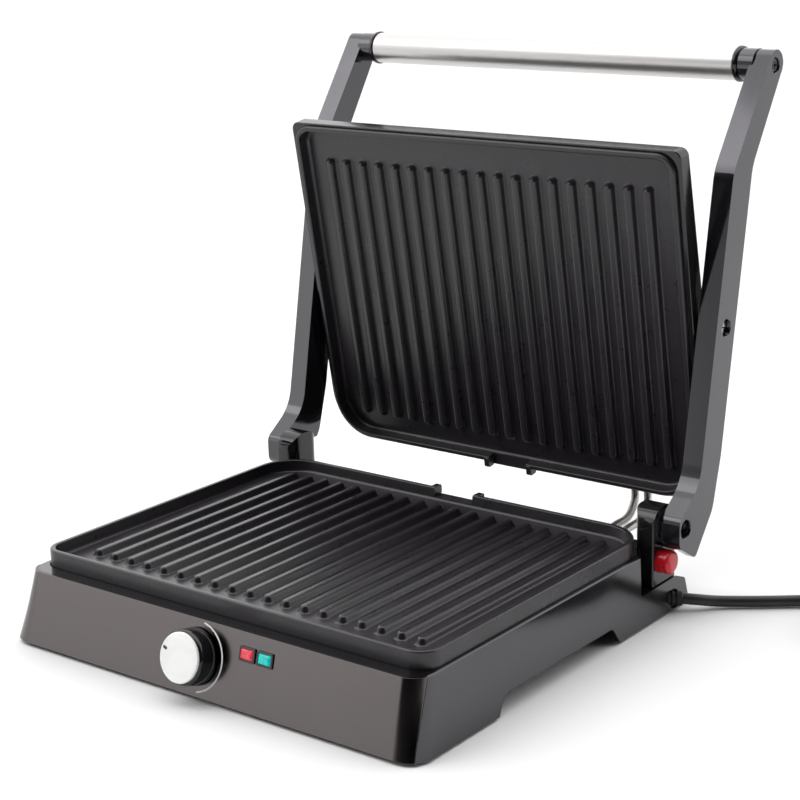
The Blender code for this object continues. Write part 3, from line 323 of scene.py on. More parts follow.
# Plastic and rubber: colour, roughness, scale and depth of the grain, spread of the roughness.
PLASTICS = {
    "gloss_black": ((0.008, 0.008, 0.009), 0.10, 1300, 0.000004, 0.03),
    "housing_black": ((0.008, 0.008, 0.009), 0.13, 1100, 0.000004, 0.03),
    "red_button": ((0.60, 0.012, 0.022), 0.20, 1200, 0.000005, 0.04),
    "white_cap": ((0.82, 0.82, 0.81), 0.30, 1300, 0.000008, 0.05),
    "white_print": ((0.86, 0.86, 0.86), 0.45, 1500, 0.000004, 0.04),
    "black_print": ((0.02, 0.02, 0.021), 0.40, 1500, 0.000004, 0.04),
    "dark_plastic": ((0.028, 0.028, 0.030), 0.48, 700, 0.00004, 0.05),
    "phenolic": ((0.055, 0.040, 0.032), 0.52, 500, 0.00004, 0.05),
    "rubber": ((0.024, 0.024, 0.025), 0.72, 500, 0.00005, 0.06),
    "cord": ((0.018, 0.018, 0.019), 0.45, 700, 0.00002, 0.06),
}
# Glossy black casings that mirror the room more strongly, with a cool tint in the reflection.
LACQUERS = {
    "arm_black": ((0.009, 0.009, 0.011), 0.10, 1300, 0.000003, 0.02, 1.74),
    "casing_black": ((0.006, 0.006, 0.007), 0.12, 1100, 0.000004, 0.02, 1.72),
}
COOL_TINT = (0.97, 0.94, 1.0, 1)
EVEN = (1, 1, 1)
# Metal: colour, roughness, stretch, scale and depth of the lines, spread of the roughness.
METALS = {
    "titanium": ((0.116, 0.104, 0.104), 0.17, EVEN, 2200, 0.000004, 0.04),
    "stainless": ((0.56, 0.545, 0.535), 0.34, (1, 30, 30), 60, 0.000002, 0.02, 0.95),
    "flex_steel": ((0.42, 0.40, 0.38), 0.33, EVEN, 900, 0.00001, 0.08),
    # Painted shade: the handle screws' steel is coloured near black so the recess they sit in at each
    # handle end reads dark.
    "recess_shade_steel": ((0.050, 0.050, 0.054), 0.36, EVEN, 1200, 0.00001, 0.06),
    "zinc": ((0.60, 0.60, 0.62), 0.34, EVEN, 1200, 0.00001, 0.06),
    "aluminium": ((0.75, 0.75, 0.76), 0.38, (1, 12, 12), 140, 0.00001, 0.06),
    "chrome": ((0.78, 0.78, 0.80), 0.13, EVEN, 1500, 0.000004, 0.03),
    "element": ((0.22, 0.17, 0.14), 0.50, EVEN, 90, 0.00002, 0.08),
}


def make_looks():
    looks = {name: moulded(name, *values) for name, values in PLASTICS.items()}
    looks |= {name: metal(name, *values) for name, values in METALS.items()}
    for name, (*values, index) in LACQUERS.items():
        looks[name] = moulded(name, *values, IOR=index, Specular_Tint=COOL_TINT)
    looks["nonstick"] = coated_plate("nonstick", (0.018, 0.0152, 0.0185), (0.030, 0.0255, 0.0305), 0.31)
    looks["lamp_red"] = lens("lamp_red", (0.80, 0.06, 0.09), 0.12)
    looks["lamp_green"] = lens("lamp_green", (0.0, 0.62, 0.58), 0.12)
    return looks


LOOKS = make_looks()


# ---- tools ----


def temporary(shape):
    mesh = bpy.data.meshes.new("step")
    bmesh.ops.recalc_face_normals(shape, faces=shape.faces)
    shape.to_mesh(mesh)
    shape.free()
    holder = bpy.data.objects.new("step", mesh)
    bpy.context.scene.collection.objects.link(holder)
    return holder


def evaluated(target, *others):
    """The bmesh of an object with its modifiers applied; the objects are then removed."""
    result = bmesh.new()
    result.from_object(target, bpy.context.evaluated_depsgraph_get())
    for holder in (target, *others):
        mesh = holder.data
        bpy.data.objects.remove(holder, do_unlink=True)
        bpy.data.meshes.remove(mesh)
    return result


def combine(shape, tool, operation):
    """One exact Boolean of two shapes; both are used up and the result is returned."""
    target, cutter = temporary(shape), temporary(tool)
    step = target.modifiers.new("step", "BOOLEAN")
    step.operation = operation
    step.solver = "EXACT"
    step.object = cutter
    cutter.hide_render = True
    cutter.display_type = "WIRE"
    result = evaluated(target, cutter)
    bmesh.ops.dissolve_degenerate(result, edges=result.edges, dist=0.000002)
    return result


def minus(shape, *tools):
    for tool in tools:
        shape = combine(shape, tool, "DIFFERENCE")
    return shape


def plus(shape, *tools):
    for tool in tools:
        shape = combine(shape, tool, "UNION")
    return shape


def soften(shape, width, segments=3, angle=35):
    """Rounds every edge that is sharper than the angle."""
    holder = temporary(shape)
    step = holder.modifiers.new("step", "BEVEL")
    step.width = width
    step.segments = segments
    step.limit_method = "ANGLE"
    step.angle_limit = math.radians(angle)
    step.use_clamp_overlap = True
    step.miter_outer = "MITER_ARC"
    return evaluated(holder)


def moved(shape, matrix):
    bmesh.ops.transform(shape, matrix=matrix, verts=shape.verts)
    return shape


def joined(*shapes):
    """Several separate shapes as one bmesh."""
    whole = bmesh.new()
    for shape in shapes:
        mesh = bpy.data.meshes.new("step")
        shape.to_mesh(mesh)
        shape.free()
        whole.from_mesh(mesh)
        bpy.data.meshes.remove(mesh)
    return whole


def show(name, shape, look, body, replaced=(), smooth_deg=35, weighted=True):
    """Turns a bmesh in drawing coordinates into a piece that rides on a body."""
    bmesh.ops.recalc_face_normals(shape, faces=shape.faces)
    mesh = bpy.data.meshes.new(name)
    shape.to_mesh(mesh)
    shape.free()
    mesh.transform(Matrix.Translation(SHIFT))
    mesh.materials.append(LOOKS[look])
    piece = bpy.data.objects.new(name, mesh)
    bpy.context.scene.collection.objects.link(piece)
    mesh.shade_smooth()
    mesh.set_sharp_from_angle(angle=math.radians(smooth_deg))
    if weighted:
        step = piece.modifiers.new("normals", "WEIGHTED_NORMAL")
        step.keep_sharp = True
    if body:
        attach(piece, body)
    if replaced:
        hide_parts(*replaced)
    return piece


def rounded(corners, steps=8):
    """A closed outline from (u, v, radius) corners, with an arc of the radius at each corner."""
    outline = []
    for k, (u, v, radius) in enumerate(corners):
        here = Vector((u, v))
        back = (Vector(corners[k - 1][:2]) - here).normalized()
        ahead = (Vector(corners[(k + 1) % len(corners)][:2]) - here).normalized()
        if radius == 0:
            outline.append(here)
            continue
        half = back.angle(ahead) / 2
        centre = here + (back + ahead).normalized() * (radius / math.sin(half))
        first = here + back * (radius / math.tan(half)) - centre
        last = here + ahead * (radius / math.tan(half)) - centre
        sweep = first.angle_signed(last)
        for n in range(steps + 1):
            outline.append(centre + Matrix.Rotation(-sweep * n / steps, 2) @ first)
    return outline


def arc_points(radius, turns, u=0, v=0):
    """Points at some angles on a circle round (u, v)."""
    return [(u + radius * math.cos(a), v + radius * math.sin(a)) for a in turns]


def at_height(outline, z):
    """The points of a plan outline, all at height z."""
    return [(p[0], p[1], z) for p in outline]


def bridge(shape, lower, upper):
    for k in range(len(lower)):
        n = (k + 1) % len(lower)
        shape.faces.new((lower[k], lower[n], upper[n], upper[k]))


def prism(outline, low, high, matrix=None):
    """A closed outline in the XY plane, extruded from Z = low to Z = high, then placed."""
    shape = loft([at_height(outline, z) for z in (low, high)])
    return moved(shape, matrix) if matrix else shape


def side_prism(outline, low_x, high_x):
    """A (y, z) outline extruded along X."""
    return loft([[(x, p[0], p[1]) for p in outline] for x in (low_x, high_x)])


def box(low, high):
    outline = [(low[0], low[1]), (high[0], low[1]), (high[0], high[1]), (low[0], high[1])]
    return prism(outline, low[2], high[2])


def turned(profile, matrix, sides=64):
    """A solid of revolution about Z from (radius, height) points, then placed.

    A profile that starts and ends on the axis is a plug; any other profile closes into a ring.
    """
    shape = bmesh.new()
    rings = []
    turns = [2 * math.pi * k / sides for k in range(sides)]
    for radius, height in profile:
        if radius == 0:
            rings.append([shape.verts.new((0, 0, height))])
            continue
        ring = [(radius * math.cos(a), radius * math.sin(a), height) for a in turns]
        rings.append([shape.verts.new(p) for p in ring])
    hollow = profile[0][0] > 0
    for lower, upper in zip(rings, rings[1:] + rings[:1] if hollow else rings[1:]):
        if len(lower) == 1 or len(upper) == 1:
            tip, rim = (lower, upper) if len(lower) == 1 else (upper, lower)
            for k in range(sides):
                shape.faces.new((tip[0], rim[k], rim[(k + 1) % sides]))
        else:
            bridge(shape, lower, upper)
    return moved(shape, matrix)


def one_side(profile, side):
    """A (radius, height) profile for the right side (1), or turned over for the left (-1)."""
    return [(radius, side * height) for radius, height in profile]


def smooth_profile(points, steps=4):
    """Rounds the corners of a (radius, height, corner radius) profile; its ends stay as they are."""
    out = [Vector(points[0][:2])]
    for before, (u, v, radius), after in zip(points, points[1:], points[2:]):
        here = Vector((u, v))
        if radius == 0:
            out.append(here)
            continue
        back = (Vector(before[:2]) - here).normalized()
        ahead = (Vector(after[:2]) - here).normalized()
        for n in range(steps + 1):
            t = n / steps
            out.append(here + back * radius * (1 - t) ** 2 + ahead * radius * t**2)
    out.append(Vector(points[-1][:2]))
    return out


def cylinder(radius, low, high, matrix, sides=64):
    return turned([(0, low), (radius, low), (radius, high), (0, high)], matrix, sides)


def span(side, near, far):
    """The two ends of a stretch along X on the right (1) or left (-1) side, low end first."""
    return sorted((side * near, side * far))


def across(y, z):
    """Places a turned shape with its axis along X through (y, z)."""
    return Matrix.Translation((0, y, z)) @ ALONG_X


def plan_loop(half_x, front, back, front_r, back_r, steps=10):
    """A rounded rectangle in plan, always with the same number of points."""
    corners = [
        (-half_x, front, front_r), (half_x, front, front_r), (half_x, back, back_r),
        (-half_x, back, back_r),
    ]
    return rounded(corners, steps)


def loft(loops):
    """A closed solid through loops of (x, y, z) points, capped at both ends."""
    shape = bmesh.new()
    rings = [[shape.verts.new(p) for p in loop] for loop in loops]
    shape.faces.new(rings[0][::-1])
    shape.faces.new(rings[-1])
    for lower, upper in zip(rings, rings[1:]):
        bridge(shape, lower, upper)
    return shape


def curve_through(points, spacing):
    """Evenly spaced points along a smooth curve through the given ones."""
    ends = [points[0] * 2 - points[1], *points, points[-1] * 2 - points[-2]]
    fine = []
    for a, b, c, d in zip(ends, ends[1:], ends[2:], ends[3:]):
        for n in range(40):
            t = n / 40
            fine.append(
                0.5 * (2 * b + (c - a) * t + (2 * a - 5 * b + 4 * c - d) * t**2)
                + 0.5 * (3 * b - a - 3 * c + d) * t**3
            )
    fine.append(points[-1].copy())
    total = sum((q - p).length for p, q in zip(fine, fine[1:]))
    count = max(2, round(total / spacing))
    even, gone, k = [fine[0]], 0.0, 0
    for n in range(1, count):
        want = total * n / count
        while gone + (fine[k + 1] - fine[k]).length < want:
            gone += (fine[k + 1] - fine[k]).length
            k += 1
        share = (want - gone) / (fine[k + 1] - fine[k]).length
        even.append(fine[k].lerp(fine[k + 1], share))
    return [*even, fine[-1]]


def tube(points, radii, sides=20):
    """A round tube along a list of points, with its own radius at each."""
    loops = []
    side = (points[1] - points[0]).orthogonal().normalized()
    for k, (point, radius) in enumerate(zip(points, radii)):
        ahead = (points[min(k + 1, len(points) - 1)] - points[max(k - 1, 0)]).normalized()
        side = (side - ahead * side.dot(ahead)).normalized()
        up = ahead.cross(side)
        turns = [2 * math.pi * n / sides for n in range(sides)]
        loops.append([point + (side * math.cos(a) + up * math.sin(a)) * radius for a in turns])
    return loft(loops)


# ---- cord, coil and plug ----


def boot_place():
    return Matrix.Translation(BOOT_START) @ Matrix.Rotation(CORD_ANGLE, 4, "Z") @ ALONG_X


def ease(start, end, s):
    """0 before start, 1 after end, smooth in between."""
    t = min(max((s - start) / (end - start), 0.0), 1.0)
    return t * t * (3 - 2 * t)


def coil_turn(s):
    """The coil's route after s turns: outer bottom, inner bottom, inner top, outer top."""
    inward = ease(0.78, 0.95, s) - ease(2.35, 2.55, s)
    radius = COIL_R + CORD_R - 2 * CORD_R * inward
    height = CORD_R + GAP + 2 * CORD_R * ease(1.58, 1.78, s)
    angle = CORD_ANGLE + math.pi / 2 - 2 * math.pi * s
    return Vector((COIL_X + radius * math.cos(angle), COIL_Y + radius * math.sin(angle), height))


def cord_route():
    """From the strain relief's mouth along the table, round the coil and to the plug."""
    mouth = boot_place() @ Vector((0, 0, BOOT_LONG + 2 * GAP))
    along = Vector((math.cos(CORD_ANGLE), math.sin(CORD_ANGLE), 0))
    rest_z = CORD_R + GAP
    entry = coil_turn(0)
    lead = [
        mouth,
        mouth + along * 0.010 + Vector((0, 0, -0.0010)),
        Vector((0.1745, 0.1492, rest_z + 0.0004)),
        Vector((0.1950, 0.1640, rest_z)),
        Vector((0.2150, 0.1790, rest_z)),
        entry - along * 0.012,
        entry,
    ]
    turns = (math.pi / 2 + CORD_ANGLE) / (2 * math.pi) + 3
    per_turn = 24
    steps = round(turns * per_turn)
    coil = [coil_turn(turns * n / steps) for n in range(1, steps + 1)]
    start = Vector((PLUG_X, coil[-1].y, coil[-1].z))
    plug_tail = Vector((PLUG_X, PLUG_TAIL_Y, PLUG_Z))
    tail = [start.lerp(plug_tail, t) for t in (0.25, 0.5, 0.75, 1.0)]
    return [*curve_through(lead, 0.0052), *coil, *tail]


def make_plug():
    """A straight moulded two-pin plug lying flat, its pins pointing to the front."""
    stations = [
        (0.0000, 0.0042, 0.0040), (0.0010, 0.0047, 0.0043), (0.0100, 0.0056, 0.0050),
        (0.0125, 0.0080, 0.0068), (0.0145, 0.0106, 0.0086), (0.0180, 0.0120, 0.0094),
        (0.0260, 0.0119, 0.0092), (0.0340, 0.0125, 0.0094), (0.0365, 0.0148, 0.0095),
        (0.0396, 0.0150, 0.0095), (0.0400, 0.0144, 0.0089),
    ]
    loops = []
    for along, half_x, half_z in stations:
        outline = plan_loop(half_x, -half_z, half_z, half_z * 0.75, half_z * 0.75, 8)
        loops.append([(PLUG_X + p[0], PLUG_TAIL_Y - along, PLUG_Z + p[1]) for p in outline])
    body = loft(loops)
    turn = Matrix.Rotation(math.pi / 2, 4, "X")
    grooves = 4
    for k in range(grooves):
        place = Matrix.Translation((PLUG_X, PLUG_TAIL_Y - 0.0020 - 0.0017 * k, PLUG_Z)) @ turn
        groove = turned([(0.0038, 0), (0.02, 0), (0.02, 0.0007), (0.0038, 0.0007)], place, 32)
        body = minus(body, groove)
    piece = show("mains_plug_body", body, "cord", "base", ["mains_plug"])
    pins = []
    for side, word in SIDES:
        place = Matrix.Translation((PLUG_X + side * 0.0095, PLUG_TAIL_Y - 0.0390, PLUG_Z)) @ turn
        sleeve = smooth_profile([(0, 0), (0.0020, 0, 0), (0.0020, 0.0100, 0), (0, 0.0100)])
        metal_end = [(0, 0.0099), (0.0019, 0.0099, 0), (0.0019, 0.0200, 0.0007), (0, 0.0200)]
        pins.append(turned(smooth_profile(metal_end), place, 24))
        shape = turned(sleeve, place, 24)
        insulation = show(f"plug_pin_sleeve_{word}", shape, "dark_plastic", "base")
        insulation.parent = piece
    metal_pins = show("plug_pins", joined(*pins), "chrome", "base")
    return [piece, metal_pins]


def make_boot():
    """Strain relief: a flange, a tapered sleeve and the ring grooves that let it bend."""
    profile = [(0, 0), (0.0056, 0, 0.0003), (0.0056, 0.0022, 0.0005), (0.0049, 0.0030, 0.0004)]
    grooves = 6
    for k in range(grooves):
        start = 0.0062 + 0.0030 * k
        radius = 0.0049 - 0.00005 * k
        profile += [
            (radius, start, 0.0002), (radius - 0.0009, start + 0.0003, 0.0002),
            (radius - 0.0009, start + 0.0012, 0.0002), (radius, start + 0.0015, 0.0002),
        ]
    profile += [(0.0044, BOOT_LONG, 0.0006), (0, BOOT_LONG)]
    shape = turned(smooth_profile(profile, 2), boot_place(), 40)
    return show("strain_relief_sleeve", shape, "rubber", "base", ["strain_relief"])


def make_cord():
    points = [p + SHIFT for p in cord_route()]
    curve = bpy.data.curves.new("power_cord_lead", "CURVE")
    curve.dimensions = "3D"
    curve.bevel_depth = CORD_R
    curve.bevel_resolution = 8
    curve.use_fill_caps = True
    spline = curve.splines.new("POLY")
    spline.points.add(len(points) - 1)
    for point, place in zip(spline.points, points):
        point.co = (*place, 1)
    spline.use_smooth = True
    curve.materials.append(LOOKS["cord"])
    lead = bpy.data.objects.new("power_cord_lead", curve)
    bpy.context.scene.collection.objects.link(lead)
    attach(lead, "base")
    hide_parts("power_cord", "cord_coil")
    make_plug()
    make_boot()


# ---- grill plates and what lies behind them ----


def rib(x):
    """One rib: a long ridge with round ends, a fillet at its foot and a rounded crest."""
    section = [
        (0.0048, -0.0005), (0.0048, 0.0), (0.0041, 0.00015), (0.0036, 0.0006), (0.0032, 0.0014),
        (0.0027, 0.0026), (0.0023, 0.0034), (0.0018, 0.0038), (0.0010, 0.0040),
    ]
    foot_half = 0.0036
    loops = []
    for half, rise in section:
        front, back = RIB_FRONT_Y + foot_half - half, RIB_BACK_Y - foot_half + half
        loop = plan_loop(half, front, back, half * 0.98, half * 0.98, 6)
        loops.append([(x + p[0], p[1], rise - FLOOR_BELOW_RIM) for p in loop])
    return loft(loops)


def plate_shape():
    """The plate with its rim plane at Z = 0, cooking side up and hinge side at +Y."""
    wall = [
        (0.0006, -PLATE_DEEP), (0.0, -PLATE_DEEP + 0.0006), (0.0, -0.0012), (0.00015, -0.0006),
        (0.0005, -0.0002), (0.0010, 0.0), (RIM_WALL - 0.0006, 0.0), (RIM_WALL - 0.0001, -0.0002),
        (RIM_WALL + 0.0002, -0.0007), (RIM_WALL + 0.0008, -FLOOR_BELOW_RIM + 0.0018),
        (RIM_WALL + 0.0012, -FLOOR_BELOW_RIM + 0.0008),
        (RIM_WALL + 0.0020, -FLOOR_BELOW_RIM + 0.0002), (RIM_WALL + 0.0030, -FLOOR_BELOW_RIM),
    ]
    loops = []
    for inset, z in wall:
        x, y = PLATE_HALF_X - inset, PLATE_HALF_Y - inset
        points = plan_loop(x, -y, y, FRONT_CORNER_R - inset, HINGE_CORNER_R - inset)
        loops.append(at_height(points, z))
    shape = loft(loops)
    back = PLATE_HALF_Y
    spout = box((-SPOUT_HALF_X, back - 0.0100, -0.0058), (SPOUT_HALF_X, back + 0.01, 0.01))
    lip = [
        (back - 0.0025, -0.0098), (back + 0.0012, -0.0098), (back + SPOUT_LIP, -0.0068),
        (back + SPOUT_LIP, -0.0058), (back - 0.0025, -0.0058),
    ]
    shape = plus(minus(shape, spout), side_prism(lip, -SPOUT_HALF_X - 0.0005, SPOUT_HALF_X + 0.0005))
    for side in (-1, 1):
        x = side * (SPOUT_HALF_X + NUB_HALF_X)
        outline = [
            (back - 0.0025, -0.0100, 0), (back + 0.0010, -0.0100, 0.0005),
            (back + NUB_OUT, -0.0050, 0.001), (back + NUB_OUT, 0.0004, 0.0015),
            (back - 0.0025, 0.0004, 0.0008),
        ]
        nub = side_prism(rounded(outline, 4), x - NUB_HALF_X, x + NUB_HALF_X)
        shape = plus(shape, soften(nub, 0.0004, 2))
    ribs = [rib((k - (RIB_COUNT - 1) / 2) * RIB_PITCH) for k in range(RIB_COUNT)]
    return plus(shape, joined(*ribs))


def make_plates():
    for word, place, body in (
        ("lower", Matrix.Translation((0, 0, PLATE_TOP_Z)), "base"),
        ("upper", LID_PLATE, "lid"),
    ):
        shape = moved(plate_shape(), place)
        show(f"{word}_plate_coated", shape, "nonstick", body, [f"{word}_grill_plate"], smooth_deg=40)


# ---- base ----


def panel_y(z, behind=0.0):
    """Where a plane behind the front panel's face meets height z."""
    return PANEL_FOOT_Y + z * math.tan(PANEL_LEAN) + behind / math.cos(PANEL_LEAN)


def in_panel(shape):
    return moved(shape, PANEL)


def corner_measures(z):
    """The front corner's four measures at height z."""
    share = z / DECK_Z
    return [foot + (deck - foot) * share for foot, deck in zip(CORNER_AT_FOOT, CORNER_AT_DECK)]


def corner_arc(z, steps=18):
    """The right front corner at height z: points from the flat front to the seam, with normals."""
    flat_x, seam_x, seam_y, _ = corner_measures(z)
    front = panel_y(z)
    wide, deep = seam_x - flat_x, seam_y - front
    radius = (wide**2 + deep**2) / (2 * deep)
    turns = [math.asin(wide / radius) * k / steps for k in range(steps + 1)]
    normals = [Vector((math.sin(turn), -math.cos(turn))) for turn in turns]
    centre = Vector((flat_x, front + radius))
    return [(centre + normal * radius, normal) for normal in normals]


def both_sides(right, z):
    """Mirrors a run of plan points to the left and sets it at height z, from left to right."""
    return [(-p.x, p.y, z) for p in right[::-1]] + [(p.x, p.y, z) for p in right]


def base_loop(z, inset=0.0):
    """The base's outline in plan at height z; the inset rounds the edge of the deck."""
    half = FLOOR_HALF_X - FLARE * z - inset
    right = [point - normal * inset for point, normal in corner_arc(z)]
    right += [Vector((half, corner_measures(z)[3])), Vector((half, 0.170))]
    return both_sides(right, z)


def twisted_loft(loops):
    """A loft whose side faces aren't flat, cut into triangles so that later cuts stay exact."""
    shape = loft(loops)
    bmesh.ops.triangulate(shape, faces=shape.faces)
    return shape


def panel_strip(levels, out, behind, beyond):
    """A strip along the front and round both corners, between two offsets from the panel's face."""
    loops = []
    for z in levels:
        arc = corner_arc(z)
        normal = arc[-1][1]
        ahead = Vector((-normal.y, normal.x)) * beyond
        outer = [point + normal * out for point, normal in arc]
        inner = [point - normal * behind for point, normal in arc]
        outer[-1] += ahead
        inner[-1] += ahead
        loops.append(both_sides(outer, z) + both_sides(inner, z)[::-1])
    return twisted_loft(loops)


def shell_outline():
    """The base in side view, with the arches between its feet and the notch for the hinges."""
    return rounded(
        [
            (-0.160, SHELL_GROUND, 0), (-0.160, 0.060, 0), (NOTCH_Y + 0.0050, 0.060, 0),
            (NOTCH_Y - 0.0020, NOTCH_Z, 0.0015), (0.1348, NOTCH_Z + 0.0006, 0.0030),
            (REAR_Y - 0.0018, 0.0165, 0.0025), (REAR_Y, SHELL_GROUND, 0), (0.0648, SHELL_GROUND, 0),
            (0.0584, 0.0115, 0.0025), (-0.0489, 0.0122, 0.0020), (-0.0535, 0.0108, 0.0020),
            (-0.0600, SHELL_GROUND, 0),
        ],
        4,
    )


def cavity_shape():
    """The hollow under the deck, open below."""
    roof = PLATE_BED_Z - WALL
    main_back = NOTCH_Y - WALL
    loops = []
    for z in (-0.01, roof):
        half, front = FLOOR_HALF_X - FLARE * z - WALL, panel_y(z, WALL + FASCIA_THICK)
        loops.append(at_height(plan_loop(half, front, main_back, CAVITY_CORNER_R, 0.002), z))
    main = loft(loops)
    outline = [
        (main_back - 0.002, -0.01), (main_back - 0.002, NOTCH_Z - WALL), (0.1345, NOTCH_Z - WALL),
        (REAR_Y - WALL - 0.0018, 0.0165 - WALL), (REAR_Y - WALL, -0.01),
    ]
    foot = FLOOR_HALF_X - WALL
    rear = loft([[(side * (foot - FLARE * z), y, z) for y, z in outline] for side in (-1, 1)])
    half = DECK_BLOCK_HALF_X - WALL
    block = box((-half, main_back - 0.004, 0.005), (half, DECK_BLOCK_BACK_Y - WALL, roof))
    return plus(main, rear, block)


def spigot_place(side):
    """Where a hinge post stands in the casing."""
    return Matrix.Translation((side * (POST_IN_X + POST_OUT_X) / 2, SPIGOT_Y, 0))


def lamp_holes():
    holes = []
    for x in LAMP_X:
        low = (x - LAMP_HALF_X - 0.0004, LAMP_UP - LAMP_HALF_UP - 0.0004, -0.010)
        high = (x + LAMP_HALF_X + 0.0004, LAMP_UP + LAMP_HALF_UP + 0.0004, 0.002)
        holes.append(box(low, high))
    return joined(*holes)


def make_casing():
    loops = [base_loop(z) for z in FASCIA_LEVELS[:-1]]
    loops.insert(0, base_loop(0.0))
    steps = 4
    for k in range(steps + 1):
        turn = math.pi / 2 * k / steps
        inset = DECK_EDGE_R * (1 - math.cos(turn))
        loops.append(base_loop(DECK_Z - DECK_EDGE_R * (1 - math.sin(turn)), inset))
    shape = combine(twisted_loft(loops), side_prism(shell_outline(), -0.17, 0.17), "INTERSECT")
    half = DECK_BLOCK_HALF_X
    block = box((-half, NOTCH_Y - 0.01, 0.006), (half, DECK_BLOCK_BACK_Y, PLATE_BED_Z))
    shape = plus(shape, block)
    levels = (-0.005, *FASCIA_LEVELS, DECK_Z + 0.006)
    shape = minus(shape, panel_strip(levels, 0.01, FASCIA_THICK + GAP / 2, GAP / 2))
    bed_x, bed_y = PLATE_HALF_X + PLATE_BED_GAP, PLATE_HALF_Y + PLATE_BED_GAP
    bed = plan_loop(bed_x, -bed_y, bed_y, FRONT_CORNER_R, HINGE_CORNER_R, 12)
    shape = minus(shape, prism(bed, PLATE_BED_Z, 0.06))
    opening = plan_loop(OPENING_HALF_X, -OPENING_HALF_Y, OPENING_HALF_Y, 0.010, 0.018, 4)
    shape = minus(shape, cavity_shape(), prism(opening, 0.02, 0.05))
    shape = minus(shape, in_panel(cylinder(SPINDLE_PASSAGE_R, -0.010, 0.004, KNOB_PLACE, 32)))
    shape = minus(shape, in_panel(lamp_holes()))
    shape = minus(shape, cylinder(BOOT_HOLE_R, -0.02, BOOT_LONG + 0.01, boot_place(), 40))
    for side in (-1, 1):
        shape = minus(shape, cylinder(SPIGOT_R + GAP, 0.010, 0.030, spigot_place(side), 24))
    show("base_casing", shape, "casing_black", "base", ["base_shell"], smooth_deg=24)


def make_fascia():
    """The metal front panel: flat in front, bent round both corners to the seams with the sides."""
    shape = panel_strip(FASCIA_LEVELS, 0.0, FASCIA_THICK, 0.0)
    flat = math.radians(0.3)
    bmesh.ops.dissolve_limit(shape, angle_limit=flat, verts=shape.verts, edges=shape.edges)
    shape = soften(shape, 0.0003, 2, 50)
    passage = cylinder(SPINDLE_PASSAGE_R - 0.0002, -0.010, 0.004, KNOB_PLACE, 32)
    shape = minus(shape, in_panel(joined(passage, lamp_holes())))
    show("front_panel", shape, "titanium", "base", ["front_fascia"], smooth_deg=24)
    make_print()


def make_print():
    """The thin scale line printed round the dial's right side."""
    start, stop, steps = math.radians(-78), math.radians(81), 60
    half, thick = 0.00052, 0.00006
    turns = [start + (stop - start) * k / steps for k in range(steps + 1)]
    outer = arc_points(ARC_R + half, turns)
    inner = arc_points(ARC_R - half, turns)
    line = prism([*outer, *inner[::-1]], 0.00001, thick, KNOB_PLACE)
    show("dial_scale_print", in_panel(line), "white_print", "base")


def make_lamps():
    for x, tint in zip(LAMP_X, ("red", "green")):
        place = Matrix.Translation((x, LAMP_UP, 0))
        half_x, half_up = LAMP_HALF_X + LAMP_FRAME, LAMP_HALF_UP + LAMP_FRAME
        loops = []
        for inset, n in ((0.0, GAP), (0.0, 0.0007), (0.0001, 0.0009), (0.0003, 0.0011)):
            loop = plan_loop(half_x - inset, inset - half_up, half_up - inset, 0.0007, 0.0007, 5)
            loops.append(at_height(loop, n))
        inside = plan_loop(LAMP_HALF_X, -LAMP_HALF_UP, LAMP_HALF_UP, 0.0004, 0.0004, 4)
        bezel = moved(minus(loft(loops), prism(inside, -0.01, 0.01)), place)
        show(f"lamp_bezel_{tint}", in_panel(bezel), "gloss_black", "base", [f"lamp_frame_{tint}"])
        slack = 0.0003
        loops = []
        edge = ((0, -0.0090), (0, 0.0008), (0.0002, 0.0012), (0.0008, 0.0015), (0.0016, 0.0017))
        for inset, n in edge:
            half_x, half_up = LAMP_HALF_X - slack - inset, LAMP_HALF_UP - slack - inset
            loop = plan_loop(half_x, -half_up, half_up, 0.0004, 0.0004, 4)
            loops.append(at_height(loop, n))
        window = in_panel(moved(loft(loops), place))
        show(f"lamp_window_{tint}", window, f"lamp_{tint}", "base", [f"lamp_lens_{tint}"])


def make_feet():
    for name, (x, y) in FEET.items():
        place = Matrix.Translation((x, y, 0))
        profile = [
            (0.0050, 0.0002), (0.0052, 0.0), (0.0083, 0.0), (0.0090, 0.0003), (0.0094, 0.0010),
            (0.0095, 0.0020), (0.0095, 0.0087), (0.0027, 0.0087), (0.0027, 0.0040),
            (0.0050, 0.0040),
        ]
        show(f"rubber_foot_{name}", turned(profile, place, 48), "rubber", "base", [f"foot_{name}"])
        screw = cross_head_screw(
            head_r=0.0042, face=0.0012, under_head=0.0034, shank_r=0.0020, end=0.0210
        )
        show(f"foot_fixing_{name}", moved(screw, place), "zinc", "base", [f"foot_screw_{name}"])


def cross_head_screw(head_r, face, under_head, shank_r, end):
    """A pan-head screw on the Z axis with a cross recess; its face may look up or down."""
    away = 1 if end > face else -1
    profile = [
        (0, face), (head_r * 0.72, face), (head_r * 0.93, face + away * 0.00025),
        (head_r, face + away * 0.0008), (head_r, under_head), (shank_r, under_head),
        (shank_r, end - away * 0.0008), (shank_r * 0.4, end), (0, end),
    ]
    shape = turned(profile, Matrix.Identity(4), 40)
    long, thick = head_r * 0.58, head_r * 0.13
    deep = sorted((face - away * 0.001, face + away * 0.0011))
    first = box((-long, -thick, deep[0]), (long, thick, deep[1]))
    second = box((-thick, -long, deep[0]), (thick, long, deep[1]))
    return minus(shape, plus(first, second))


# ---- hinge posts, pins and button ----


def post_outline():
    low = NOTCH_Z + 0.0010
    return [
        (POST_FRONT_Y, low, 0), (POST_FRONT_Y, POST_TOP_Z, 0.0110),
        (POST_BACK_Y, POST_TOP_Z, 0.0126), (POST_BACK_Y, low, 0),
    ]


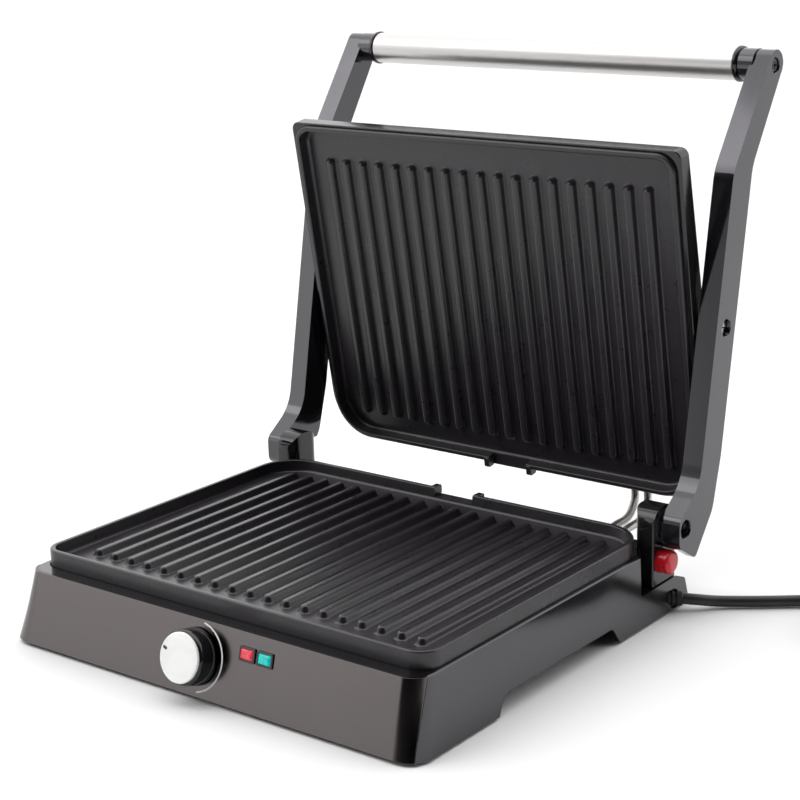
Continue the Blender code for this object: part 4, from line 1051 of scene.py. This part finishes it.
def make_post(side, word):
    """The hinge post: a rounded block with a bore for the hinge disc, open to the outside."""
    low, high = span(side, POST_IN_X, POST_OUT_X)
    shape = side_prism(rounded(post_outline(), 14), low, high)
    plan = rounded(
        [
            (side * POST_IN_X, POST_FRONT_Y, POST_INNER_EDGE_R),
            (side * POST_OUT_X, POST_FRONT_Y, 0.0012), (side * POST_OUT_X, POST_BACK_Y, 0.0012),
            (side * POST_IN_X, POST_BACK_Y, POST_INNER_EDGE_R),
        ],
        9,
    )
    shape = combine(shape, prism(plan[::side], 0.0, 0.1), "INTERSECT")
    shape = soften(shape, 0.0007, 3, 42)
    shape = plus(shape, cylinder(SPIGOT_R, 0.0145, NOTCH_Z + 0.003, spigot_place(side), 24))
    hinge = across(HINGE_Y, HINGE_Z)
    bore = span(side, POST_OUT_X - DISC_LONG - 0.0008, POST_OUT_X + 0.01)
    shape = minus(shape, cylinder(DISC_R + 0.0003, *bore, hinge, 64))
    hole = span(side, POST_IN_X + 0.0006, POST_OUT_X + 0.01)
    shape = minus(shape, cylinder(AXLE_R + 0.0003, *hole, hinge, 32))
    if side > 0:
        guide = (POST_OUT_X - 0.0095, POST_OUT_X + 0.01)
        shape = minus(shape, cylinder(BUTTON_R + 0.0003, *guide, across(BUTTON_Y, BUTTON_Z), 48))
    recess = soften(box((-0.0045, 0, 0), (0.0045, 0.0007, 0.0095)), 0.0003, 2)
    middle = side * (POST_IN_X + POST_OUT_X + 0.0040) / 2
    shape = minus(shape, moved(recess, Matrix.Translation((middle, POST_FRONT_Y - 0.0003, 0.0400))))
    show(f"post_{word}", shape, "gloss_black", "base", [f"hinge_post_{word}"], smooth_deg=32)


def headed_pin(profile, side, slot_at, place):
    """A pin whose flat-topped head has one straight screwdriver slot."""
    shape = turned(one_side(profile, side), Matrix.Identity(4), 48)
    deep = span(side, slot_at - 0.0009, slot_at + 0.002)
    slot = box((-0.00045, -0.01, deep[0]), (0.00045, 0.01, deep[1]))
    turn = Matrix.Rotation(math.radians(25), 4, "Z")
    return moved(minus(shape, moved(slot, turn)), place)


def make_hinge_pins():
    face = ARM_OUT_X - 0.0055
    profile = [
        (0, POST_IN_X + 0.0010), (AXLE_R - 0.0004, POST_IN_X + 0.0010),
        (AXLE_R, POST_IN_X + 0.0014), (AXLE_R, ARM_OUT_X - 0.0080), (0.0048, ARM_OUT_X - 0.0080),
        (0.0048, face - 0.0008), (0.0045, face - 0.0002), (0.0040, face), (0, face),
    ]
    for side, word in SIDES:
        shape = headed_pin(profile, side, face, across(HINGE_Y, HINGE_Z))
        show(f"hinge_bolt_{word}", shape, "zinc", "base", [f"hinge_pin_{word}"])


def make_button():
    inner = POST_OUT_X - 0.0042
    profile = smooth_profile(
        [
            (0, inner), (BUTTON_R, inner, 0.0003), (BUTTON_R, BUTTON_OUT_X - 0.0042, 0),
            (BUTTON_R - 0.0003, BUTTON_OUT_X - 0.0040, 0),
            (BUTTON_R - 0.0003, BUTTON_OUT_X - 0.0037, 0), (BUTTON_R, BUTTON_OUT_X - 0.0035, 0),
            (BUTTON_R, BUTTON_OUT_X - 0.0004, 0.0018),
            (BUTTON_R * 0.5, BUTTON_OUT_X - 0.0001, 0.0008), (0, BUTTON_OUT_X),
        ],
        5,
    )
    shape = turned(profile, across(BUTTON_Y, BUTTON_Z), 56)
    show("release_button_cap", shape, "red_button", "button", ["release_button"])


# ---- arms and handle ----


def arm_outline():
    """The arm in side view: foot, S-bend, long straight blade and the bend up to the handle."""
    return [
        (0.1150, 0.0466, 0.0060), (0.1345, 0.0348, 0.0035), (0.1553, 0.0602, 0.0200),
        (0.1648, 0.0925, 0.0600), (0.1973, 0.2662, 0.0300), (0.2364, 0.3262, 0.0080),
        (0.2228, 0.3362, 0.0080), (0.1734, 0.2656, 0.0300), (0.1388, 0.0800, 0.0300),
        (0.1148, 0.0632, 0.0065),
    ]


def relief_shape(side):
    """What is cut from the arm's inner side so that its foot passes over the release button."""
    start, stop, steps = math.radians(-140), math.radians(0), 24
    turns = [start + (stop - start) * k / steps for k in range(steps + 1)]
    past_arm = 0.045
    inner = arc_points(RELIEF_R, turns, HINGE_Y, HINGE_Z)
    far = arc_points(past_arm, turns, HINGE_Y, HINGE_Z)
    low, high = span(side, ARM_IN_X - 0.01, RELIEF_OUT_X)
    return side_prism(inner + far[::-1], low, high)


def counterbore(radius, deep, side, place):
    """A round recess in the arm's outer face, with a small chamfer round its mouth."""
    chamfer = 0.0005
    profile = [
        (0, ARM_OUT_X - deep), (radius, ARM_OUT_X - deep), (radius, ARM_OUT_X - chamfer),
        (radius + chamfer + 0.0004, ARM_OUT_X + 0.0004), (0, ARM_OUT_X + 0.0004),
    ]
    return turned(one_side(profile, side), place, 48)


def make_arm(side, word):
    low, high = span(side, ARM_IN_X, ARM_OUT_X)
    shape = side_prism(rounded(arm_outline(), 12), low, high)
    edges = [e for e in shape.edges if abs(e.verts[0].co.x - e.verts[1].co.x) < 1e-6]
    bmesh.ops.bevel(shape, geom=edges, offset=ARM_EDGE_R, segments=4, profile=0.5, affect="EDGES")
    handle = across(HANDLE_Y, HANDLE_Z)
    boss_start = TUBE_HALF + COLLAR_LONG + 2 * GAP
    boss = span(side, boss_start, ARM_IN_X + 0.002)
    shape = plus(shape, cylinder(BOSS_R, *boss, handle, 48))
    shape = minus(shape, relief_shape(side))
    hinge, pin = across(HINGE_Y, HINGE_Z), across(PIN_Y, PIN_Z)
    recesses = ((0.0057, 0.0083, hinge), (0.0052, 0.0050, pin), (0.0046, 0.0032, handle))
    for radius, deep, place in recesses:
        shape = minus(shape, counterbore(radius, deep, side, place))
    through = span(side, 0.14, 0.17)
    for radius, place in ((AXLE_R + 0.0003, hinge), (PIN_R + 0.0003, pin), (0.0027, handle)):
        shape = minus(shape, cylinder(radius, *through, place, 32))
    show(f"side_arm_{word}", shape, "arm_black", "arms", [f"arm_{word}"], smooth_deg=30)


def make_handle():
    place = across(HANDLE_Y, HANDLE_Z)
    edge = 0.0003
    profile = [
        (TUBE_R - 0.0010, -TUBE_HALF), (TUBE_R - edge, -TUBE_HALF), (TUBE_R, -TUBE_HALF + edge),
        (TUBE_R, TUBE_HALF - edge), (TUBE_R - edge, TUBE_HALF), (TUBE_R - 0.0010, TUBE_HALF),
    ]
    show("handle_bar", turned(profile, place, 96), "stainless", "arms", ["handle_tube"])
    for side, word in SIDES:
        start = TUBE_HALF + GAP
        end = start + COLLAR_LONG
        profile = [
            (0.0027, start - 0.0080), (TUBE_R - 0.0014, start - 0.0080), (TUBE_R - 0.0014, start),
            (COLLAR_R - 0.0004, start), (COLLAR_R, start + 0.0004), (COLLAR_R, end - 0.0014),
            (COLLAR_R - 0.0002, end - 0.0007), (COLLAR_R - 0.0006, end - 0.0002),
            (COLLAR_R - 0.0013, end), (0.0027, end),
        ]
        shape = turned(one_side(profile, side), place, 72)
        show(f"handle_end_{word}", shape, "gloss_black", "arms", [f"handle_collar_{word}"])
        face, under_head, tip = ARM_OUT_X - 0.0008, ARM_OUT_X - 0.0030, TUBE_HALF - 0.0050
        screw = cross_head_screw(0.0042, side * face, side * under_head, 0.0024, side * tip)
        replaced = [f"handle_screw_{word}"]
        # The handle screw heads carry painted shade: near-black steel stands in for the shade in their
        # recess.
        show(f"handle_bolt_{word}", moved(screw, place), "recess_shade_steel", "arms", replaced)


def make_pivot_pins():
    """The lid's pivot pins, with cross-recessed heads sunk in the arms."""
    place = across(PIN_Y, PIN_Z)
    for side, word in SIDES:
        face, under_head, tip = ARM_OUT_X - 0.0024, ARM_OUT_X - 0.0048, HOUSING_HALF_X - 0.0110
        screw = cross_head_screw(0.0046, side * face, side * under_head, PIN_R, side * tip)
        show(f"pivot_bolt_{word}", moved(screw, place), "chrome", "pivot_pins", [f"pivot_pin_{word}"])


# ---- lid ----


def housing_deep(y, front, back):
    """How far behind the rim plane the housing's edge lies at a place between its two ends."""
    share = (y - front) / (back - front)
    return HOUSING_FRONT_DEEP + (HOUSING_HINGE_DEEP - HOUSING_FRONT_DEEP) * share


def housing_loop(inset, rise, level=None):
    """A loop round the lid housing: at one height, or following the slope of its back."""
    front = PLATE_BEHIND_PIN - PLATE_HALF_Y - HOUSING_PAST_PLATE
    back = PLATE_BEHIND_PIN + PLATE_HALF_Y + HOUSING_PAST_PLATE
    points = plan_loop(
        HOUSING_HALF_X - inset,
        front + inset,
        back - inset,
        max(HOUSING_FRONT_R - inset * 0.5, 0.0020),
        max(HOUSING_HINGE_R - inset * 0.6, 0.0030),
        12,
    )
    if level is not None:
        return at_height(points, level)
    return [(p[0], p[1], housing_deep(p[1], front, back) + rise - RIM_BELOW_PIN) for p in points]


def crown(inset):
    """How far the housing's back bulges at a distance from its edge."""
    reach, high = 0.0600, 0.0090
    return high * math.sin(math.pi / 2 * min(inset / reach, 1.0)) ** 0.9


def plate_pocket():
    """The lid plate's own outline with a small gap round it, open at the rim side."""
    half_x, half_y = PLATE_HALF_X + GAP, PLATE_HALF_Y + GAP
    plan = plan_loop(half_x, -half_y, half_y, FRONT_CORNER_R + GAP, HINGE_CORNER_R + GAP)
    outline = [(p[0], p[1] + PLATE_BEHIND_PIN) for p in plan]
    return prism(outline, -0.0300, PLATE_DEEP - RIM_BELOW_PIN + GAP)


def make_housing():
    lip = HOUSING_LIP - RIM_BELOW_PIN
    loops = [housing_loop(0.0004, 0.0, lip), housing_loop(0.0, 0.0, lip + 0.0005)]
    for inset, rise in ((0.0, -0.0020), (0.00025, -0.0010), (0.0008, -0.0003), (0.0018, 0.0)):
        loops.append(housing_loop(inset, rise))
    for inset in (0.0045, 0.0085, 0.0140, 0.0210, 0.0300, 0.0400, 0.0500, 0.0600):
        loops.append(housing_loop(inset, crown(inset) - crown(0.0018)))
    outer = loft(loops)
    hollow = loft(
        [
            housing_loop(0.0055, 0.0, -0.0060),
            housing_loop(0.0055, -0.0022),
            housing_loop(0.0150, -0.0004),
            housing_loop(0.0345, 0.0030),
            housing_loop(0.0605, 0.0050),
        ]
    )
    shape = minus(outer, plate_pocket(), hollow)
    for side in (-1, 1):
        boss = span(side, 0.1365, HOUSING_HALF_X)
        shape = plus(shape, cylinder(0.0046, *boss, ALONG_X, 32))
    notch = box((-0.0200, 0.1100, -0.0168), (0.0200, 0.1250, -0.0056))
    shape = minus(shape, plate_pocket(), notch)
    for side in (-1, 1):
        hole = span(side, 0.13, 0.16)
        shape = minus(shape, cylinder(PIN_R + 0.0003, *hole, ALONG_X, 32))
    show("lid_shell", moved(shape, LID), "housing_black", "lid", ["lid_housing"], smooth_deg=32)


# ---- knob ----


def make_knob():
    seat = KNOB_CAP_R + 0.0003
    body = [
        (0, 0.0010), (KNOB_R - 0.0005, 0.0010), (KNOB_R - 0.0001, 0.0012), (KNOB_R, 0.0018),
        (KNOB_R - 0.0007, KNOB_HIGH - 0.0026), (KNOB_R - 0.0009, KNOB_HIGH - 0.0014),
        (KNOB_R - 0.0013, KNOB_HIGH - 0.0005), (KNOB_R - 0.0019, KNOB_HIGH), (seat, KNOB_HIGH),
        (seat, KNOB_HIGH - 0.0016), (0, KNOB_HIGH - 0.0016),
    ]
    shape = turned(body, KNOB_PLACE, 96)
    shape = minus(shape, cylinder(SPINDLE_R + 0.0003, -0.001, 0.0085, KNOB_PLACE, 32))
    show("dial_body", in_panel(shape), "gloss_black", "knob", ["control_knob"])
    top = KNOB_HIGH + CAP_PROUD
    cap = [
        (0, KNOB_HIGH - 0.0013), (KNOB_CAP_R, KNOB_HIGH - 0.0013), (KNOB_CAP_R, top - 0.0007),
        (KNOB_CAP_R - 0.0001, top - 0.0004), (KNOB_CAP_R - 0.0004, top - 0.0001),
        (KNOB_CAP_R - 0.0008, top), (0, top),
    ]
    turn = Matrix.Rotation(math.radians(72), 4, "Z")
    low, high = KNOB_CAP_R - 0.0044, KNOB_CAP_R - 0.0013
    groove = prism(plan_loop(0.0009, low, high, 0.0004, 0.0004, 4), top - 0.0004, top + 0.001)
    shape = minus(turned(cap, KNOB_PLACE, 96), moved(groove, KNOB_PLACE @ turn))
    show("dial_cap", in_panel(shape), "white_cap", "knob", ["knob_cap"])
    mark = plan_loop(0.00085, low + 0.00005, high - 0.00005, 0.0004, 0.0004, 4)
    fill = prism(mark, top - 0.0004, top - 0.00005)
    pointer = in_panel(moved(fill, KNOB_PLACE @ turn))
    show("dial_pointer", pointer, "black_print", "knob")


# ---- leads to the lid ----


def conduit_points(x):
    """From the back of the deck block up to the lid housing's hinge-side wall."""
    wall = PLATE_BEHIND_PIN + PLATE_HALF_Y + HOUSING_PAST_PLATE
    far_x = x - 0.0040
    return [
        Vector((x, DECK_BLOCK_BACK_Y + 2 * GAP, CONDUIT_Z)),
        Vector((x, DECK_BLOCK_BACK_Y + 0.0070, CONDUIT_Z)),
        Vector((x + 0.0040, 0.1500, 0.0370)),
        Vector((x + 0.0040, 0.1680, 0.0385)),
        Vector((x - 0.0020, 0.1865, 0.0430)),
        LID @ Vector((far_x, wall + 0.0075, 0.0010)),
        LID @ Vector((far_x, wall + 3 * GAP, 0.0010)),
    ]


def make_conduits():
    """Steel-covered leads, wound from a narrow strip; each is cut into four pieces at the joints
    between the moving bodies, and no piece is attached to a body.
    """
    bodies = ("base", "hinge_discs", "arms", "pivot_pins", "lid")
    strip_width = 0.00042
    for x, word in zip(CONDUIT_X, ("inner", "outer")):
        points = curve_through(conduit_points(x), strip_width)
        groove = [0.5 + 0.5 * math.cos(math.pi * k / 2) for k in range(len(points))]
        wound = [CONDUIT_R - 0.00022 * depth for depth in groove]
        cuts = [round(len(points) * share) for share in (0.0, 0.16, 0.52, 0.84, 1.0)]
        for n, (a, b) in enumerate(zip(bodies, bodies[1:])):
            part = points[cuts[n] : cuts[n + 1] + 1]
            radii = wound[cuts[n] : cuts[n + 1] + 1]
            replaced = [f"conduit_{word}"] if n == 0 else []
            name = f"steel_lead_{word}_{n + 1}"
            piece = show(
                name, tube(part, radii), "flex_steel", None, replaced,
                smooth_deg=60, weighted=False,
            )
            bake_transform(piece)


# ---- CAD pieces that keep their shape ----


def dress_cad_nodes():
    """Gives every CAD piece that stays visible its procedural material."""
    looks = {
        "bottom_cover": "dark_plastic",
        "lower_heating_element": "element",
        "upper_heating_element": "element",
        "lower_reflector": "aluminium",
        "thermostat_body": "phenolic",
        "thermostat_spindle": "zinc",
        "terminal_block": "phenolic",
        "button_spring": "stainless",
        "hinge_disc_left": "dark_plastic",
        "hinge_disc_right": "dark_plastic",
        "pivot_washer_left": "dark_plastic",
        "pivot_washer_right": "dark_plastic",
    }
    for node, look in looks.items():
        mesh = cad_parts[node].data
        mesh.materials.clear()
        mesh.materials.append(LOOKS[look])


# ---- studio ----


def area_light(name, place, target, size, watts):
    data = bpy.data.lights.new(name, "AREA")
    data.shape = "RECTANGLE"
    data.size, data.size_y = size
    data.energy = watts
    light = bpy.data.objects.new(name, data)
    bpy.context.scene.collection.objects.link(light)
    light.location = place
    light.rotation_euler = (Vector(target) - Vector(place)).to_track_quat("-Z", "Y").to_euler()


def darken_one_side(tree, background):
    """A white room whose wall to the right of the front is black, seen as a band in the corner."""
    coordinate = tree.nodes.new("ShaderNodeTexCoord")
    facing = tree.nodes.new("ShaderNodeVectorMath")
    facing.operation = "DOT_PRODUCT"
    facing.inputs[1].default_value = DARK_WALL
    tree.links.new(coordinate.outputs["Generated"], facing.inputs[0])
    ramp = tree.nodes.new("ShaderNodeValToRGB")
    ramp.color_ramp.elements[0].position = DARK_FROM
    ramp.color_ramp.elements[0].color = (1, 1, 1, 1)
    ramp.color_ramp.elements[1].position = DARK_FULL
    ramp.color_ramp.elements[1].color = (0, 0, 0, 1)
    tree.links.new(facing.outputs["Value"], ramp.inputs["Fac"])
    tree.links.new(ramp.outputs["Color"], background.inputs["Color"])


def make_studio():
    mesh = bpy.data.meshes.new("floor")
    half = 12.0
    corners = [(-half, -half, 0), (half, -half, 0), (half, half, 0), (-half, half, 0)]
    mesh.from_pydata(corners, [], [(0, 1, 2, 3)])
    floor = bpy.data.objects.new("floor", mesh)
    bpy.context.scene.collection.objects.link(floor)
    look = Look("floor_paper", (0.90, 0.90, 0.90), 0.9)
    look.vary_colour(look.noise(3, 2), (0.92, 0.92, 0.92))
    mesh.materials.append(look.material)
    floor.location.z = -0.0002
    world = bpy.data.worlds.new("studio")
    bpy.context.scene.world = world
    world.use_nodes = True
    background = world.node_tree.nodes["Background"]
    background.inputs["Strength"].default_value = ROOM_LIGHT
    darken_one_side(world.node_tree, background)
    area_light("key", place=(-0.9, -1.0, 1.5), target=(0, 0.05, 0.1), size=(1.4, 1.0), watts=8)
    area_light("top", place=(0.1, 0.1, 1.7), target=(0, 0.05, 0.05), size=(1.6, 1.6), watts=5)
    bpy.context.scene.view_settings.view_transform = "Standard"


make_camera()
make_cord()
make_casing()
make_fascia()
make_lamps()
make_feet()
make_plates()
for side, word in SIDES:
    make_post(side, word)
    make_arm(side, word)
make_hinge_pins()
make_button()
make_handle()
make_pivot_pins()
make_housing()
make_knob()
make_conduits()
dress_cad_nodes()
make_studio()
